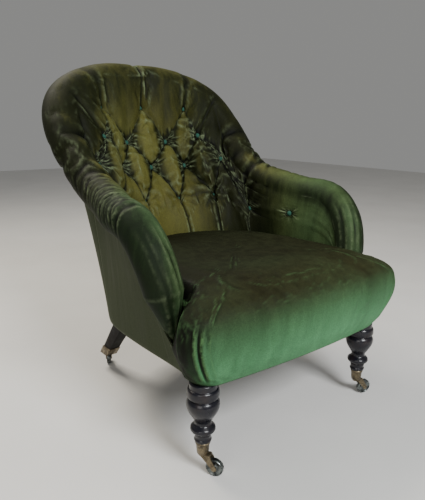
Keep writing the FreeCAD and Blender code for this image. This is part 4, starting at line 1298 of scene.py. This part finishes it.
def eased(profile, steps):
    """A turned profile with its sweeps rounded between the given places."""
    points = [profile[0]]
    for k in range(len(profile) - 1):
        before = profile[max(0, k - 1)]
        after = profile[min(len(profile) - 1, k + 2)]
        for i in range(1, steps + 1):
            t = i / steps
            spot = []
            for a, b, c, d in zip(before, profile[k], profile[k + 1], after):
                bent = (2 * a - 5 * b + 4 * c - d) * t * t + (3 * b - a - 3 * c + d) * t ** 3
                spot.append(0.5 * (2 * b + (c - a) * t + bent))
            points.append((max(0.5, spot[0]), spot[1]))
    return points


# Radius and height of the front legs' beads, vase and collars, from the cup up to the hem
front_leg_profile = [
    (11.0, 52), (12.0, 71.5), (15.3, 71.6), (17.2, 74), (17.6, 77), (16.2, 80), (16.0, 83),
    (16.8, 86), (17.2, 89), (16.4, 91.5), (21.5, 93.5), (24.6, 97.5), (25.0, 100.5), (24.2, 104),
    (20.5, 107.5), (17.2, 110.5), (16.5, 114), (17.5, 118.5), (20.5, 124), (24.5, 130.5),
    (28.8, 138), (31.9, 146), (33.0, 153), (32.4, 159), (29.8, 164), (27.5, 166), (27.6, 167.5),
    (30.6, 169.2), (31.9, 173), (32.0, 178), (31.4, 184), (29.4, 187.2), (27.5, 188.5),
    (27.4, 199.4)]
leg_bases = {"left": Vector((LEG_HALF_SPACING, 0, 0)), "right": Vector((-LEG_HALF_SPACING, 0, 0))}
for hand, leg_base in leg_bases.items():
    leg_name = "front_leg_" + hand
    leg = lathe(leg_name + "_turned", eased(front_leg_profile, 4), EBONISED, leg_base)
    fit(leg, "chair", "ebonised_wood", leg_name)


def softened(node_name, name, finish, width, slot, body="chair"):
    """A rigid node's own form with its edges eased."""
    work = bmesh.new()
    work.from_mesh(frame["nodes"][node_name].data)
    bmesh.ops.remove_doubles(work, verts=work.verts, dist=2e-5)
    bmesh.ops.dissolve_limit(work, angle_limit=math.radians(1.5), verts=work.verts, edges=work.edges)
    mesh = bpy.data.meshes.new(name)
    work.to_mesh(mesh)
    work.free()
    mesh.materials.clear()
    mesh.materials.append(finish)
    piece = put_in_scene(name, mesh)
    bevel = piece.modifiers.new("eased_edges", "BEVEL")
    bevel.width = width * MM
    bevel.segments = 2
    bevel.limit_method = "ANGLE"
    bevel.angle_limit = math.radians(28)
    apply_modifiers(piece)
    smooth_faces(piece.data)
    piece.data.set_sharp_from_angle(angle=math.radians(35))
    fit(piece, body, slot, node_name)


for hand in ("left", "right"):
    back_leg = "back_leg_" + hand
    softened(back_leg, back_leg + "_planed", DULL_EBONISED, 1.2, "ebonised_wood")
softened("back_leg_sockets", "back_leg_cups", BRASS, 0.5, "brass")

# Radius and height of a cup: up its outside, over its lip and down into it
cup_profile = [(10.9, 44), (11.6, 44.8), (12.6, 56), (13.5, 66.5), (14.9, 67.6), (15.3, 69.2),
               (14.8, 71), (12.3, 71), (11.4, 66), (10.4, 50)]
cups = lathe("front_leg_cups", cup_profile, BRASS, *leg_bases.values())
fit(cups, "chair", "brass", "front_leg_sockets")

# Radius of a wheel's hub, web and rim, and the place across the wheel
wheel_half = [(2.56, -4.6), (5.2, -4.6), (6.0, -3.8), (7.0, -3.3), (13.0, -3.3), (14.6, -4.4),
              (15.4, -5.3), (16.6, -5.5), (17.6, -4.7), (18.0, -3.0)]
wheel_profile = wheel_half + [(radius, -across) for radius, across in reversed(wheel_half)]


def ring_mesh(name, profile, finish, base, axis):
    """Turned work with a hole through it, about an axis that lies any way."""
    points, faces = [], []
    turn = Vector((0, 0, 1)).rotation_difference(Vector(axis)).to_matrix()
    around = len(profile)
    for k in range(TURNED_SIDES):
        angle = 2 * math.pi * k / TURNED_SIDES
        for radius, across in profile:
            spoke = Vector((radius * math.cos(angle), radius * math.sin(angle), across))
            points.append(Vector(base) + turn @ spoke)
        here, there = k * around, (k + 1) % TURNED_SIDES * around
        for i in range(around):
            j = (i + 1) % around
            faces.append((here + i, here + j, there + j, there + i))
    return make_mesh(name, points, faces, finish)


for joint in frame["joints"]:
    if joint["name"].endswith("_roll"):
        corner = joint["name"][:-5]
        wheel_name, horn_name = "castor_wheel_" + corner, "castor_horn_" + corner
        x, y, z = joint["pos_m"]
        hub = (x / MM, (y - LEG_LINE) / MM, z / MM)
        wheel = ring_mesh(wheel_name + "_turned", wheel_profile, WHEEL_BRASS, hub, joint["axis"])
        wheel.data.set_sharp_from_angle(angle=math.radians(40))
        fit(wheel, "wheel_" + corner, "wheel_brass", wheel_name)
        softened(horn_name, horn_name + "_cast", BRASS, 0.5, "brass", "swivel_" + corner)

# Finishes of the nodes that stay
inside_finishes = {
    BEECH: ("front_rail", "side_rail_left", "side_rail_right", "bow_rail", "cross_rail",
            "corner_braces"),
    IRON: ("iron_rim", "iron_straps"),
    SPRING_STEEL: ("seat_springs",),
    HESSIAN: ("back_hessian", "seat_canvas", "seat_webbing"),
    LINING: ("bottom_lining",)}
for finish, node_names in inside_finishes.items():
    for node_name in node_names:
        for slot in frame["nodes"][node_name].material_slots:
            slot.material = finish
